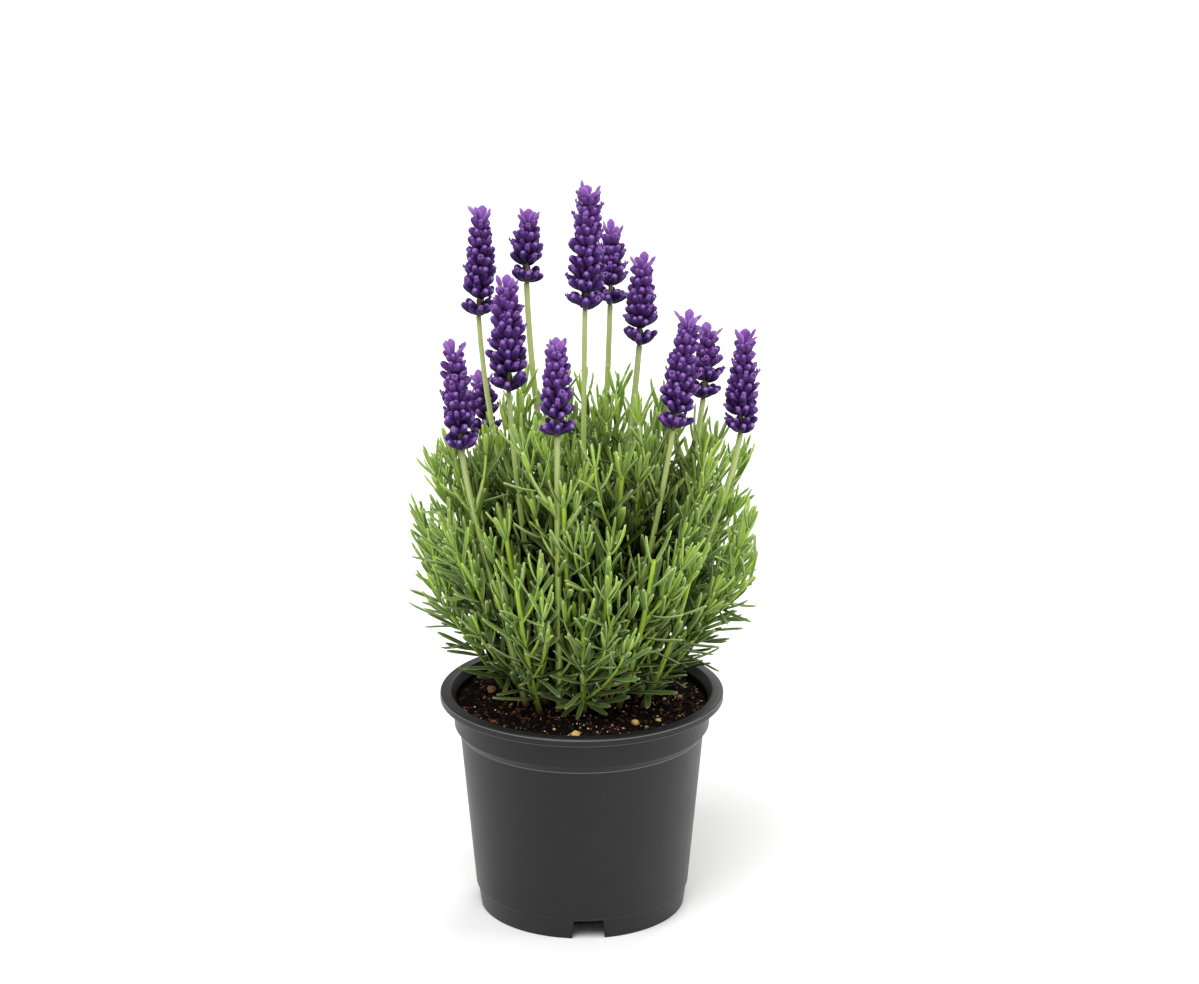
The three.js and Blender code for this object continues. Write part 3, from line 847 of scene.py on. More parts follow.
crown = {
    "radius": 42,
    "centre": (0, 7),
    "goldenAngle": 137.508,
    "shoots": 32,
    "twistBetweenStems": 47,
    "footRadius": 1.5,
    "holeDepth": 12,
    "straight": 3,
    "longest": 160,
    "shortest": 88,
    "lengthSpread": (0.92, 1.07),
    "leanMost": 34,
    "leanAtFoot": 1.25,
    "leanAtTip": 0.6,
    "leanSpread": 3,
    "azimuthSpread": 8,
    "depthLeanLoss": 0.5,
    "frontLengthLoss": 0.2,
    "sprigRoot": (1, -29),
    "sprigEnd": (1, -46, 171),
    "sprigLeanAtFoot": 46,
}

# What sets a flowering stem and a leafy shoot apart
flowerStem = {
    "piece": "floweringStem",
    "node": "flower_stem",
    "slot": "flower_stem_green",
    "leafyHeight": 112,
    "leafTilts": (58, 34),
    "tipRadius": 1.25,
    "shownWidth": 1.15,
    "sideShoots": 9,
    "sideRises": (0.03, 1.06),
}
leafyShoot = {
    "piece": "leafyShoot",
    "node": "leafy_shoot",
    "slot": "foliage_green",
    "leafyHeight": math.inf,
    "leafTilts": (68, 28),
    "tipRadius": 1.15,
    "shownWidth": 0.98,
    "sideShoots": 8,
    "sideRises": (0.03, 0.76),
}

leafSizes = {
    "length": 29,
    "halfWidth": 1.6,
    "shownHalfWidth": 1.45,
    "pairSpacing": 26,
    "turnBetweenPairs": 140,
    "lowestPair": 0.09,
    "highestPair": 0.97,
    "tipLoss": 0.3,
    "lengthSpread": (0.88, 1.08),
    "curlSpread": (-4, 16),
    "twistSpread": (-22, 22),
    "youthInTone": 0.62,
    "sideReach": 91,
    "depthReach": 75,
    "aboveSoil": 0.6,
    "coneFootRadius": 40,
    "coneRise": 0.6,
}

headSizes = {"gap": 0.3, "reach": 10.8}
# Painted shade: how it darkens the plant's middle and foot and lifts towards the outside and top
shading = {
    "widest": 84,
    "widening": 0.75,
    "depthShare": 0.76,
    "height": 170,
    "darkUpTo": 0.52,
    "brightFrom": 0.98,
    "atSoil": 0.2,
    "fullFrom": 70,
}

# Each flowering stem: its root in the soil, its head's foot and top, and how full the head is
flowers = [
    ((-27, -12), (-61, -28, 260), (-65, -29, 319), 1),
    ((-20, -8), (-37, -14, 287), (-38, -14, 348), 1.2),
    ((-8, -26), (-12, -48, 273), (-12, -49, 326), 1),
    ((-3, -3), (2, -6, 328), (4, -6, 395), 1.1),
    ((10, 6), (30, 14, 304), (32, 15, 353), 1),
    ((15, -14), (47, -22, 269), (55, -24, 332), 1),
    ((34, -8), (82, -8, 263), (84, -8, 319), 1),
    ((-20, 16), (-54, 40, 313), (-52, 42, 372), 1),
    ((-8, 24), (-29, 52, 328), (-28, 53, 368), 1),
    ((28, 18), (64, 36, 269), (67, 38, 310), 1),
    ((-30, 26), (-52, 59, 242), (-54, 62, 278), 1),
    ((8, 30), (15, 60, 314), (16, 62, 359), 1),
]


# A repeatable draw between 0 and 1 for each whole number
def draw(key):
    value = math.sin(key * 12.9898 + 4.1414) * 43758.5453
    return value - math.floor(value)


def drawBetween(key, low, high):
    return low + (high - low) * draw(key)


def spread(chance, most):
    return chance.uniform(-most, most)


def unit(vector):
    return vector / math.sqrt(float(vector @ vector))


def sideways(along):
    first = unit(np.cross(along, (1.0, 0.0, 0.0)))
    return first, unit(np.cross(along, first))


# A curve leaves its start and arrives at its end in the directions given
def curveFrom(start, leaving, arriving, end, length):
    return start, start + leaving * (length / 3), end - arriving * (length / 3), end


def curvePoint(curve, t):
    a, b, c, d = curve
    s = 1 - t
    return a * s**3 + b * (3 * s * s * t) + c * (3 * s * t * t) + d * t**3


def curvePoints(curve, steps):
    return [curvePoint(curve, step / steps) for step in range(steps + 1)]


def curveTangent(curve, t):
    return unit(curvePoint(curve, min(1, t + 1e-4)) - curvePoint(curve, max(0, t - 1e-4)))


# Round beads strung along every stem, leaf and head keep them clear of each other
beads = {"gap": 0.4, "cell": 4.0, "small": {}, "wide": []}


def stringBeads(points, radius, spacing, owner, isStem=False):
    places = []
    for start, end in zip(points, points[1:]):
        steps = max(1, math.ceil(float(np.linalg.norm(end - start)) / spacing))
        for step in range(0 if not places else 1, steps + 1):
            places.append(start + (end - start) * (step / steps))
    return [(*map(float, place), radius, owner, isStem, order) for order, place in enumerate(places)]


def cellOf(*place):
    return tuple(math.floor(way / beads["cell"]) for way in place)


def keepBeads(strung):
    for bead in strung:
        if bead[3] * 2 + beads["gap"] > beads["cell"]:
            beads["wide"].append(bead)
        else:
            beads["small"].setdefault(cellOf(*bead[:3]), []).append(bead)


def beadsNear(*place):
    for cell in product(*((way - 1, way, way + 1) for way in cellOf(*place))):
        yield from beads["small"].get(cell, ())
    yield from beads["wide"]


def isClear(strung, gap=beads["gap"]):
    for x, y, z, radius, owner, _, order in strung:
        for nearX, nearY, nearZ, nearRadius, nearOwner, isStem, nearOrder in beadsNear(x, y, z):
            if nearOwner == owner and (isStem or nearOrder < 2 or order < 2):
                continue
            least = radius + nearRadius + gap
            if (x - nearX) ** 2 + (y - nearY) ** 2 + (z - nearZ) ** 2 <= least * least:
                return False
    return True


# Above the soil and a cone that widens upwards, and within the foliage's reach
def isInOpenAir(strung):
    for x, y, z, radius, *_ in strung:
        beyondCrown = max(0, math.hypot(x, y) - leafSizes["coneFootRadius"])
        lowest = soilHeight(x, y) + leafSizes["aboveSoil"] + leafSizes["coneRise"] * beyondCrown
        if z - radius <= lowest or abs(x) >= leafSizes["sideReach"] or abs(y) >= leafSizes["depthReach"]:
            return False
    return True


def towards(lean, azimuth):
    lean, azimuth = math.radians(lean), math.radians(azimuth)
    return np.array([math.sin(lean) * math.cos(azimuth), math.sin(lean) * math.sin(azimuth), math.cos(lean)])


def planStem(kind, owner, x, y, leaving, arriving, end):
    ground = np.array([x, y, soilHeight(x, y)])
    start = ground + leaving * crown["straight"]
    length = float(np.linalg.norm(end - start))
    curve = curveFrom(start, leaving, arriving, end, length)
    return {
        "kind": kind,
        "owner": owner,
        "ground": ground,
        "leaving": leaving,
        "curve": curve,
        "length": length,
        "leafyPart": min(1, kind["leafyHeight"] / length),
        "leaves": [],
        "beads": stringBeads([ground, *curvePoints(curve, 12)], crown["footRadius"], 3, owner, True),
    }


# Spread evenly round the crown, as seeds are on a sunflower
def planPlaces():
    count = len(flowers) + crown["shoots"]
    places = []
    for i in range(count):
        radius = crown["radius"] * math.sqrt((i + 0.5) / count)
        azimuth = i * crown["goldenAngle"]
        x = crown["centre"][0] + radius * math.cos(math.radians(azimuth))
        y = crown["centre"][1] + radius * math.sin(math.radians(azimuth))
        places.append({"outwardness": radius / crown["radius"], "azimuth": azimuth, "x": x, "y": y})
    return places


# A flowering stem takes the free place nearest to its root, and its head keeps others off
def planFlowerStem(i, flower, places):
    (rootX, rootY), foot, top, fullness = flower
    place = min(places, key=lambda free: math.hypot(free["x"] - rootX, free["y"] - rootY))
    places.remove(place)
    x, y = place["x"], place["y"]
    foot, top = np.array(foot, float), np.array(top, float)
    axis = unit(top - foot)
    end = foot - axis * headSizes["gap"]
    straight = unit(end - np.array([x, y, soilEdge + soil["crown"]]))
    arriving = unit(axis + (straight - axis) * 0.4)
    stem = planStem(flowerStem, i, x, y, straight, arriving, end)
    keepBeads(stem["beads"])
    keepBeads(stringBeads([foot + axis * 5, top], headSizes["reach"], 4, i, True))
    return {**stem, "foot": foot, "top": top, "axis": axis, "fullness": fullness}


def planSprig():
    owner = len(flowers) + crown["shoots"]
    leaving, arriving = towards(crown["sprigLeanAtFoot"], -90), np.array([0.0, 0.0, 1.0])
    end = np.array(crown["sprigEnd"], float)
    sprig = planStem(leafyShoot, owner, *crown["sprigRoot"], leaving, arriving, end)
    keepBeads(sprig["beads"])
    return sprig


shootTries = list(product((1, 0.88, 0.76), (0, 7, -7, 14, -14, 21, -21, 30, -30)))


# The first try that stands clear of the others, or None
def planShoot(owner, place):
    x, y, outwardness = place["x"], place["y"], place["outwardness"]
    depth = math.sin(math.radians(place["azimuth"])) * outwardness
    heading = place["azimuth"] + drawBetween(owner, -crown["azimuthSpread"], crown["azimuthSpread"])
    ownLean = drawBetween(owner + 50, -crown["leanSpread"], crown["leanSpread"])
    lean = (crown["leanMost"] * outwardness + ownLean) * (1 - crown["depthLeanLoss"] * abs(depth))
    drop = (crown["longest"] - crown["shortest"]) * outwardness**2
    frontLoss = crown["frontLengthLoss"] * max(0, -depth)
    ownLength = drawBetween(owner + 100, *crown["lengthSpread"]) * (1 - frontLoss)
    fullLength = (crown["longest"] - drop) * ownLength
    for shrink, turn in shootTries:
        leaving = towards(lean * crown["leanAtFoot"], heading + turn)
        arriving = towards(lean * crown["leanAtTip"], heading + turn)
        way = (leaving + arriving) * (0.5 * fullLength * shrink)
        end = np.array([x, y, soilHeight(x, y)]) + way
        shoot = planStem(leafyShoot, owner, x, y, leaving, arriving, end)
        if isClear(shoot["beads"]):
            keepBeads(shoot["beads"])
            return shoot
    return None


# The light mark for painted shade: 0, the most painted shade, in the plant's dark middle and foot, 1, none,
# at its outside and top
def openness(x, y, z):
    rise = max(0, z - soilEdge)
    widest = min(shading["widest"], crown["radius"] + shading["widening"] * rise)
    outward = math.hypot(x - crown["centre"][0], (y - crown["centre"][1]) / shading["depthShare"]) / widest
    nearest = max(outward, rise / shading["height"])
    share = (nearest - shading["darkUpTo"]) / (shading["brightFrom"] - shading["darkUpTo"])
    share = min(1, max(0, share))
    low = shading["atSoil"] + (1 - shading["atSoil"]) * min(1, rise / shading["fullFrom"])
    return share * share * (3 - 2 * share) * low


# A leaf on a curve: its root, middle and tip, and the direction across it
def leafOn(curve, height, turn, tilt, length, curl):
    root, along = curvePoint(curve, height), curveTangent(curve, height)
    outward = turned(*sideways(along), math.radians(turn))
    share = leafBlade["middleShare"]
    middle = root + turned(along, outward, math.radians(tilt)) * (length * share)
    tip = middle + turned(along, outward, math.radians(tilt - curl)) * (length * (1 - share))
    return {"points": [root, middle, tip], "wide": unit(np.cross(along, outward))}


def growLeaf(stem, height, turn, tilt, length, curl, tries, beadRadius, gap):
    for shrink, moreTilt, moreTurn in tries:
        leaf = leafOn(stem["curve"], height, turn + moreTurn, tilt + moreTilt, length * shrink, curl)
        strung = stringBeads(leaf["points"], beadRadius, 2.8, stem["owner"])
        if isInOpenAir(strung) and isClear(strung, gap):
            keepBeads(strung)
            return leaf
    return None


# How much shorter, and how far tilted and turned, a leaf may grow where it finds no room
leafTries = list(product((1, 0.8), (0, -12, 12), (0, 15, -15, 30, -30, 42, -42)))


def pairHeight(stem, rise):
    low, high = leafSizes["lowestPair"], leafSizes["highestPair"]
    return (low + (high - low) * rise) * stem["leafyPart"]


def leafTilt(stem, rise):
    lowest, highest = stem["kind"]["leafTilts"]
    return lowest + (highest - lowest) * rise**0.8


def planMainLeaves(stem):
    stem["pairs"] = max(3, math.floor(stem["length"] * stem["leafyPart"] / leafSizes["pairSpacing"] + 0.5))
    for pair in range(stem["pairs"]):
        rise = pair / (stem["pairs"] - 1)
        for half in range(2):
            key = stem["owner"] * 61 + pair * 2 + half + 300
            turn = stem["owner"] * crown["twistBetweenStems"]
            turn += pair * leafSizes["turnBetweenPairs"] + half * 180
            length = leafSizes["length"] * drawBetween(key, *leafSizes["lengthSpread"])
            length *= 1 - leafSizes["tipLoss"] * rise**4
            curl = drawBetween(key + 7, *leafSizes["curlSpread"])
            leaf = growLeaf(
                stem, pairHeight(stem, rise), turn, leafTilt(stem, rise), length, curl,
                leafTries, leafSizes["halfWidth"], beads["gap"],
            )
            if leaf:
                leaf.update(rise=rise, halfWidth=leafSizes["shownHalfWidth"], key=key)
                stem["leaves"].append(leaf)


# What the solids leave out: more pairs, short leaves in the axils and at the tips, and side shoots

fillers = {
    "seed": 5,
    "curls": (-8, 18),
    "betweenLength": 25,
    "betweenSpread": (0.8, 1.15),
    "betweenHalfWidth": 1.3,
    "axilPerNode": 4,
    "axilLengths": (8, 16),
    "axilHalfWidth": 0.85,
    "axilTurn": 28,
    "axilTiltShare": (0.4, 0.7),
    "axilAbovePair": 0.008,
    "tipLeaves": 5,
    "tipRise": 0.985,
    "tipLengths": (12, 20),
    "tipTilts": (3, 17),
    "tipHalfWidth": 0.75,
    "beadRadius": 0.76,
    "beadGap": -0.1,
}
sideShoots = {
    "lengths": (36, 70),
    "lengthLoss": 0.3,
    "riseSpread": 0.8,
    "radius": 0.8,
    "tipRadius": 0.55,
    "leaveAngle": 40,
    "arriveAngle": 12,
    "inwardLean": 115,
    "tries": 10,
    "shrinkPerTry": 0.04,
    "pairSpacing": 11,
    "turnBetweenPairs": 80,
    "leafLength": 24,
    "leafLengthSpread": (0.75, 1.1),
    "leafTipLoss": 0.3,
    "leafHalfWidth": 1.2,
    "leafTilts": (54, 28),
    "lowestPair": 0.14,
    "leafyPart": 0.8,
}
# Room kept free in front of (-Y) the foremost stems
clearing = {"behind": -5, "from": 0.17, "start": 3.5, "spacing": 3.5, "beads": 9, "radius": 1.3}
# The small sprig's own leaves: height, turn, tilt and length. The lowest hang down like a star
sprigLeaves = [
    (0.18, 92, 84, 16), (0.18, 268, 82, 16), (0.2, 138, 120, 15), (0.2, 182, 128, 15), (0.2, 222, 118, 15),
    (0.4, 90, 70, 18), (0.4, 270, 72, 18), (0.58, 96, 56, 19), (0.58, 264, 54, 19), (0.6, 180, 60, 12),
    (0.78, 90, 38, 19), (0.78, 270, 38, 19), (0.78, 180, 42, 13), (0.94, 120, 20, 13), (0.94, 240, 20, 13),
]
fillerTries = list(product((1, 0.75), (0, -14, 14), (0, 24, -24, 48)))


def growFiller(stem, chance, height, turn, tilt, length, halfWidth, rise):
    curl = chance.uniform(*fillers["curls"])
    radius, gap = fillers["beadRadius"], fillers["beadGap"]
    leaf = growLeaf(stem, height, turn, tilt, length, curl, fillerTries, radius, gap)
    if leaf:
        leaf.update(rise=rise, halfWidth=halfWidth, key=chance.randrange(9999))
        stem["leaves"].append(leaf)


def growTuft(stem, chance, twist):
    for i in range(fillers["tipLeaves"]):
        turn = twist + i * 360 / fillers["tipLeaves"]
        length, tilt = chance.uniform(*fillers["tipLengths"]), chance.uniform(*fillers["tipTilts"])
        growFiller(stem, chance, fillers["tipRise"], turn, tilt, length, fillers["tipHalfWidth"], 1)


def planFillers(stem):
    chance = random.Random(fillers["seed"] + stem["owner"] * 17)
    last = stem["pairs"] - 1
    twist = stem["owner"] * crown["twistBetweenStems"]
    for pair in range(stem["pairs"]):
        rise = pair / last
        turn = twist + pair * leafSizes["turnBetweenPairs"]
        tilt = leafTilt(stem, rise)
        for half in range(2 if pair < last else 0):
            length = fillers["betweenLength"] * chance.uniform(*fillers["betweenSpread"])
            betweenTurn = turn + leafSizes["turnBetweenPairs"] / 2 + half * 180
            between = pairHeight(stem, (pair + 0.5) / last)
            growFiller(stem, chance, between, betweenTurn, tilt, length, fillers["betweenHalfWidth"], rise)
        for i in range(fillers["axilPerNode"]):
            side = turn + (i % 2) * 180 + spread(chance, fillers["axilTurn"])
            length = chance.uniform(*fillers["axilLengths"])
            axilTilt = tilt * chance.uniform(*fillers["axilTiltShare"])
            axil = pairHeight(stem, rise) + fillers["axilAbovePair"]
            growFiller(stem, chance, axil, side, axilTilt, length, fillers["axilHalfWidth"], rise)
    if stem["kind"] is leafyShoot:
        growTuft(stem, chance, twist)


# Only main leaves grow in front of a foremost flowering stem
def keepFrontClear(stem):
    if stem["curve"][3][1] > clearing["behind"]:
        return
    rise = clearing["from"]
    while rise < 1:
        x, y, z = map(float, curvePoint(stem["curve"], rise))
        for step in range(clearing["beads"]):
            ahead = y - clearing["start"] - step * clearing["spacing"]
            keepBeads([(x, ahead, z, clearing["radius"], None, True, 0)])
        rise += clearing["spacing"] / stem["length"]


def planSprigLeaves(sprig):
    chance = random.Random(fillers["seed"])
    for height, turn, tilt, length in sprigLeaves:
        youth = 0.5 + 0.4 * height
        growFiller(sprig, chance, height, turn, tilt, length, fillers["betweenHalfWidth"], youth)


# Side shoots lean towards the inside of the plant, so that the outer stems stand free
def planSideShoots(stem):
    chance = random.Random(fillers["seed"] + stem["owner"] * 31)
    stem["sideShoots"] = []
    count, (low, high) = stem["kind"]["sideShoots"], stem["kind"]["sideRises"]
    for i in range(count):
        rise = low + (high - low) * (i + chance.uniform(0, sideShoots["riseSpread"])) / count
        height = rise * stem["leafyPart"]
        root, along = curvePoint(stem["curve"], height), curveTangent(stem["curve"], height)
        first, second = sideways(along)
        inward = np.array([*crown["centre"], root[2]]) - root
        inwardTurn = math.degrees(math.atan2(float(second @ inward), float(first @ inward)))
        fullLength = chance.uniform(*sideShoots["lengths"]) * (1 - sideShoots["lengthLoss"] * rise)
        for attempt in range(sideShoots["tries"]):
            turn = inwardTurn + chance.uniform(-1, 1) * sideShoots["inwardLean"]
            outward = turned(first, second, math.radians(turn))
            leaving = turned(along, outward, math.radians(sideShoots["leaveAngle"]))
            arriving = turned(along, outward, math.radians(sideShoots["arriveAngle"]))
            length = fullLength * (1 - sideShoots["shrinkPerTry"] * attempt)
            end = root + (leaving + arriving) * (length / 2)
            curve = curveFrom(root, leaving, arriving, end, length)
            strung = stringBeads(curvePoints(curve, 6), sideShoots["radius"], 3, stem["owner"])
            if isInOpenAir(strung) and isClear(strung, fillers["beadGap"]):
                keepBeads(strung)
                side = {"owner": stem["owner"], "curve": curve, "length": length, "rise": rise, "leaves": []}
                stem["sideShoots"].append(side)
                break


def planSideLeaves(stem):
    lowTilt, highTilt = sideShoots["leafTilts"]
    for number, side in enumerate(stem["sideShoots"]):
        chance = random.Random(stem["owner"] * 101 + number)
        twist = chance.uniform(0, 90)
        pairs = max(3, round(side["length"] / sideShoots["pairSpacing"]))
        for pair in range(pairs):
            rise = pair / (pairs - 1)
            height = sideShoots["lowestPair"] + sideShoots["leafyPart"] * rise
            tilt = lowTilt + (highTilt - lowTilt) * rise
            youth = 0.5 * side["rise"] + 0.5 * rise
            for half in range(2):
                length = sideShoots["leafLength"] * chance.uniform(*sideShoots["leafLengthSpread"])
                length *= 1 - sideShoots["leafTipLoss"] * rise**3
                turn = twist + pair * sideShoots["turnBetweenPairs"] + half * 180
                growFiller(side, chance, height, turn, tilt, length, sideShoots["leafHalfWidth"], youth)
        growTuft(side, chance, twist)


# Leafy stems

stemLook = {"sides": 8, "steps": 14, "square": 0.08, "footFlare": 1.1}


def addLeaf(shape, made, leaf):
    key = leaf["key"]
    twist = drawBetween(key + 3, *leafSizes["twistSpread"])
    youthShare = leafSizes["youthInTone"]
    tone = youthShare * leaf["rise"] + (1 - youthShare) * draw(key + 13)
    addBlade(shape, made, leafBlade, leaf["points"], leaf["wide"], leaf["halfWidth"], twist, tone)


def growStem(shape, points, footRadius, tipRadius, flare, turn):
    last = len(points) - 1

    def radiusAt(ring, angle):
        rise = max(0, ring - 1) / (last - 1)
        radius = footRadius + (tipRadius - footRadius) * rise
        widened = 1 + (flare - 1) * max(0, 1 - rise * 4)
        return radius * widened * (1 + stemLook["square"] * math.cos(4 * angle))

    return growTube(shape, [Vector(point) for point in points], radiusAt, stemLook["sides"], turn)


def buildLeafyStem(number, stem, finishes):
    kind = stem["kind"]
    shape = newShape()
    made = pattern(shape, bladeBlank, 2, 7, 1)
    for part in (stem, *stem["sideShoots"]):
        for leaf in part["leaves"]:
            addLeaf(shape, made, leaf)
    dropPattern(shape, made)
    turn = stem["owner"] * crown["twistBetweenStems"]
    below = stem["ground"] - stem["leaving"] * crown["holeDepth"]
    points = [below, stem["ground"], *curvePoints(stem["curve"], stemLook["steps"])]
    width, flare = kind["shownWidth"], stemLook["footFlare"]
    growStem(shape, points, crown["footRadius"] * width, kind["tipRadius"] * width, flare, turn)
    for side in stem["sideShoots"]:
        points = curvePoints(side["curve"], 6)
        for vert in growStem(shape, points, sideShoots["radius"], sideShoots["tipRadius"], 1, turn):
            mark(shape, vert, rise=0.5)
    finishPiece(f"{kind['piece']}{number}", shape, finishes, [f"{kind['node']}_{number}"])


# Flower heads

headLook = {
    "seed": 29,
    "firstWhorl": 1.6,
    "secondWhorl": 10.5,
    "whorlSpacing": 5.4,
    "outer": {"count": 8, "tilts": (53, 38), "length": 9.9, "root": 1.3},
    "inner": {"count": 5, "tilts": (34, 18), "length": 8.4, "root": 1.2},
    "topSlimming": 0.36,
    "turnSpread": 0.22,
    "tiltSpread": 9,
    "rootSpread": 1.2,
    "lengthSpread": (0.84, 1.06),
    "radiusSpread": (0.86, 1.06),
    "toneSpread": (-0.12, 0.25),
    "calyxRadius": 2.15,
    "calyxSides": 8,
    "calyxRibs": 0.07,
    # A calyx's rings: how far along, how wide, and the place in its finish's bands, which lay painted shade
    # low down and inside an open mouth, and a painted highlight near the tip
    "bud": [
        (0, 0.3, 0), (0.2, 0.72, 0.168), (0.52, 1, 0.336),
        (0.8, 0.9, 0.504), (0.95, 0.58, 0.672), (1, 0.16, 0.84),
    ],
    "open": [
        (0, 0.3, 0), (0.22, 0.72, 0.15), (0.6, 1, 0.4), (0.88, 0.94, 0.64), (1, 0.7, 0.7), (0.9, 0.34, 1),
    ],
    "openShare": 0.12,
    "corollaShare": 0.26,
    "corollaRoot": 0.85,
    "lobeLengths": (2.6, 3.6),
    "lobeHalfWidth": 1.2,
    "lobeCurls": (-30, 70),
    "lobeTones": (0, 0.6),
    "tuftPetals": 5,
    "tuftBelowTop": 12.5,
    "tuftRadius": 1.5,
    "tuftTurnSpread": 0.2,
    "tuftTilts": (8, 30),
    "tuftLengths": (9.5, 12.5),
    "tuftHalfWidth": 2.9,
    "tuftWidthSpread": (0.8, 1.05),
    "tuftCurls": (0, 26),
    "tuftTones": (0.6, 1),
    "rachisRadius": 1.25,
}


def addCalyx(shape, made, rings, root, aim, length, radius, tone, turn):
    first, second = across(aim)
    for vert in copyPattern(shape, made):
        along, width, shade = rings[round(vert.co.z * (len(rings) - 1))]
        angle = math.atan2(vert.co.y, vert.co.x)
        ridge = math.cos(headLook["calyxSides"] / 2 * angle)
        reach = radius * width * (1 + headLook["calyxRibs"] * ridge)
        vert.co = root + aim * (along * length) + turned(first, second, angle + turn) * reach
        mark(shape, vert, rise=shade, edge=0.5 + 0.5 * ridge, tone=tone)


def addPetal(shape, made, root, aim, side, length, halfWidth, curl, tone):
    bent = aim.copy()
    bent.rotate(Matrix.Rotation(math.radians(curl), 3, side))
    middle = root + aim * (length * 0.5)
    tip = middle + bent * (length * 0.5)
    addBlade(shape, made, petalBlade, (root, middle, tip), side, halfWidth, 0, tone)


# One ring of calyces, some of them with an open corolla of two lobes
def addRing(shape, calyx, petal, head, ring, rise, share, isOddWhorl, chance):
    axis = head["axis"]
    fullness = head["fullness"] * (1 - headLook["topSlimming"] * share**2.2)
    lowTilt, highTilt = ring["tilts"]
    for i in range(ring["count"]):
        turn = math.tau * (i + 0.5 * isOddWhorl + spread(chance, headLook["turnSpread"])) / ring["count"]
        outward = turned(*head["sides"], turn)
        tilt = lowTilt + (highTilt - lowTilt) * share + spread(chance, headLook["tiltSpread"])
        aim = turned(axis, outward, math.radians(tilt)).normalized()
        root = head["foot"] + axis * (rise + spread(chance, headLook["rootSpread"])) + outward * ring["root"]
        length = ring["length"] * fullness * chance.uniform(*headLook["lengthSpread"])
        radius = headLook["calyxRadius"] * fullness**0.5 * chance.uniform(*headLook["radiusSpread"])
        tone = min(1, max(0, 0.05 + 0.8 * share**1.6 + chance.uniform(*headLook["toneSpread"])))
        rings = headLook["open" if chance.random() < headLook["openShare"] else "bud"]
        addCalyx(shape, calyx, rings, root, aim, length, radius, tone, chance.uniform(0, 1))
        if ring is headLook["outer"] and chance.random() < headLook["corollaShare"]:
            mouth = root + aim * (length * headLook["corollaRoot"])
            side = axis.cross(outward).normalized()
            for lobeSide, curl in zip((side, -side), headLook["lobeCurls"]):
                lobe = chance.uniform(*headLook["lobeLengths"])
                tone = chance.uniform(*headLook["lobeTones"])
                addPetal(shape, petal, mouth, aim, lobeSide, lobe, headLook["lobeHalfWidth"], curl, tone)


def addTuft(shape, petal, head, last, chance):
    axis, count = head["axis"], headLook["tuftPetals"]
    for i in range(count):
        turn = math.tau * (i + spread(chance, headLook["tuftTurnSpread"])) / count
        outward = turned(*head["sides"], turn)
        tilt = math.radians(chance.uniform(*headLook["tuftTilts"]))
        aim = turned(axis, outward, tilt).normalized()
        longest = (head["length"] - last - 1) / math.cos(tilt)
        length = min(chance.uniform(*headLook["tuftLengths"]), longest)
        halfWidth = headLook["tuftHalfWidth"] * chance.uniform(*headLook["tuftWidthSpread"])
        curl, tone = chance.uniform(*headLook["tuftCurls"]), chance.uniform(*headLook["tuftTones"])
        root = head["foot"] + axis * (last + 1) + outward * headLook["tuftRadius"]
        addPetal(shape, petal, root, aim, axis.cross(outward).normalized(), length, halfWidth, curl, tone)


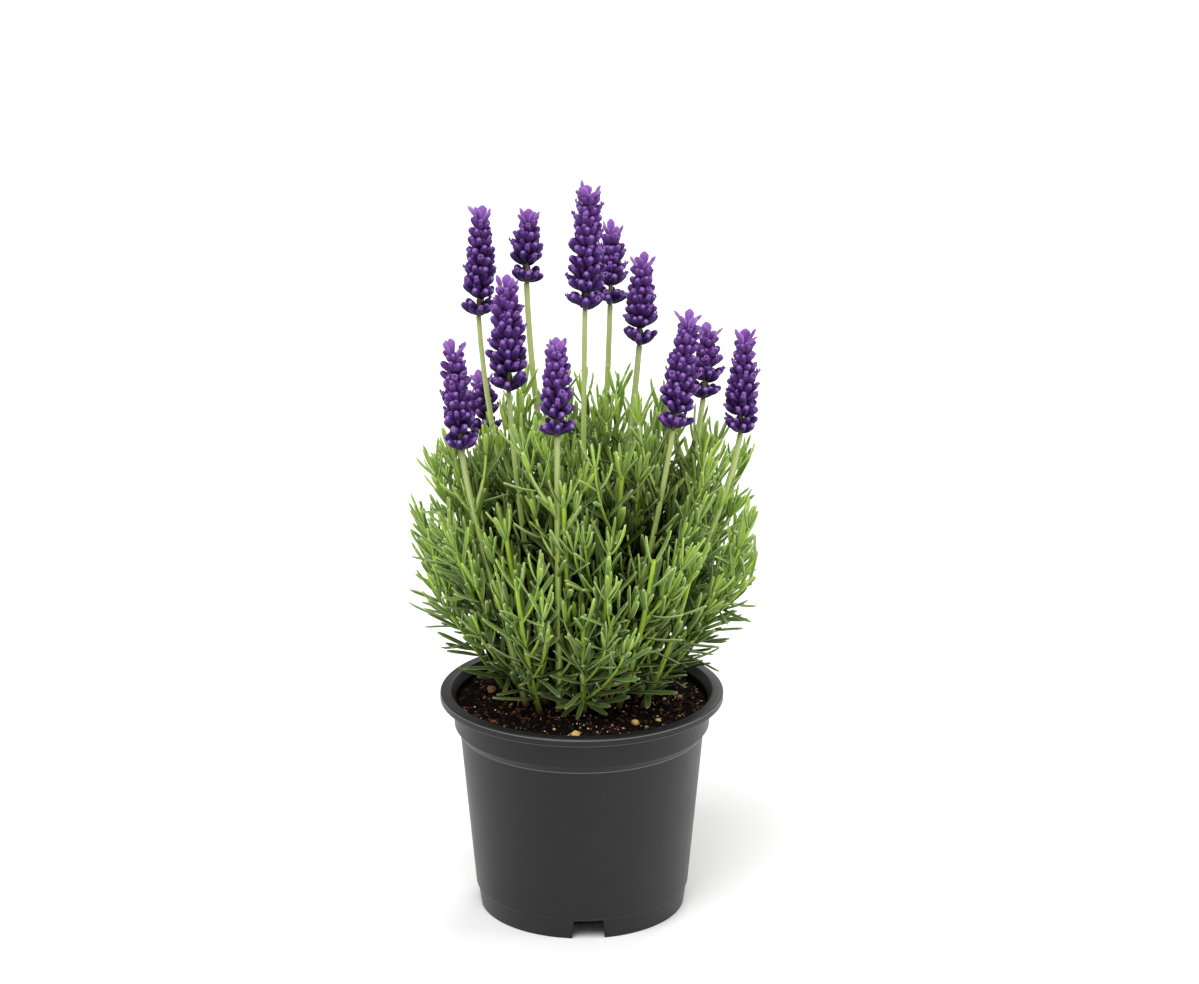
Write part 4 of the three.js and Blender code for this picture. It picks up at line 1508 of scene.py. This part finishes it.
def buildHead(number, stem, finishes):
    chance = random.Random(headLook["seed"] + stem["owner"])
    foot, top, axis = (Vector(stem[part]) for part in ("foot", "top", "axis"))
    length = (top - foot).length
    head = {"foot": foot, "axis": axis, "sides": across(axis), "length": length, "fullness": stem["fullness"]}
    shape = newShape()
    calyx = pattern(shape, tubeBlank, headLook["calyxSides"], len(headLook["bud"]))
    petal = pattern(shape, bladeBlank, 2, 6, 1)
    last = length - headLook["tuftBelowTop"]
    span = last - headLook["secondWhorl"]
    whorls = max(3, round(span / headLook["whorlSpacing"]))
    rises = [headLook["secondWhorl"] + span / whorls * i for i in range(whorls + 1)]
    for whorl, rise in enumerate([headLook["firstWhorl"], *rises]):
        for ring in (headLook["outer"], headLook["inner"]):
            share = whorl / (whorls + 1)
            addRing(shape, calyx, petal, head, ring, rise, share, whorl % 2, chance)
    addTuft(shape, petal, head, last, chance)
    dropPattern(shape, calyx)
    dropPattern(shape, petal)
    rachis = [foot + axis * (last * i / 8) for i in range(9)]
    growTube(shape, rachis, lambda ring, angle: headLook["rachisRadius"] - 0.05 * ring, 8, slot=2)
    finishPiece(f"lavenderHead{number}", shape, finishes, [f"flower_head_{number}"])


# Making

placeCamera()
buildStudio()
print("studio ready")

buildPot(makePotFinish())
print("pot ready")

buildSoil(makePeatFinish())
buildLitter({name: makeCrumbFinish(name) for name in crumbColours})
print("soil ready")

places = planPlaces()
flowerStems = [planFlowerStem(i, flower, places) for i, flower in enumerate(flowers)]
sprig = planSprig()
planned = [planShoot(owner, place) for owner, place in enumerate(places, len(flowers))]
shoots = [sprig, *filter(None, planned)]
stems = [*flowerStems, *shoots]
for stem in stems:
    planMainLeaves(stem)
print("main leaves planned:", sum(len(stem["leaves"]) for stem in stems))
planSprigLeaves(sprig)
for stem in flowerStems:
    keepFrontClear(stem)
for plan in (planSideShoots, planFillers, planSideLeaves):
    for stem in stems:
        plan(stem)
sides = [side for stem in stems for side in stem["sideShoots"]]
print("side shoots planned:", len(sides))
print("all leaves planned:", sum(len(part["leaves"]) for part in (*stems, *sides)))

leafFinish = makeLeafFinish()
stemFinish = makeStemFinish("flowerStemGreen", 0.05)
shootFinish = makeStemFinish("shootGreen", 0.6)
for number, stem in enumerate(flowerStems, 1):
    buildLeafyStem(number, stem, [stemFinish, leafFinish])
for number, stem in enumerate(shoots, 1):
    buildLeafyStem(number, stem, [shootFinish, leafFinish])
print("stems ready")

headFinishes = [
    makeVioletFinish("calyxViolet"), makeVioletFinish("petalViolet"), makeStemFinish("rachisOlive", 0.3),
]
for number, stem in enumerate(flowerStems, 1):
    buildHead(number, stem, headFinishes)
print("heads ready")
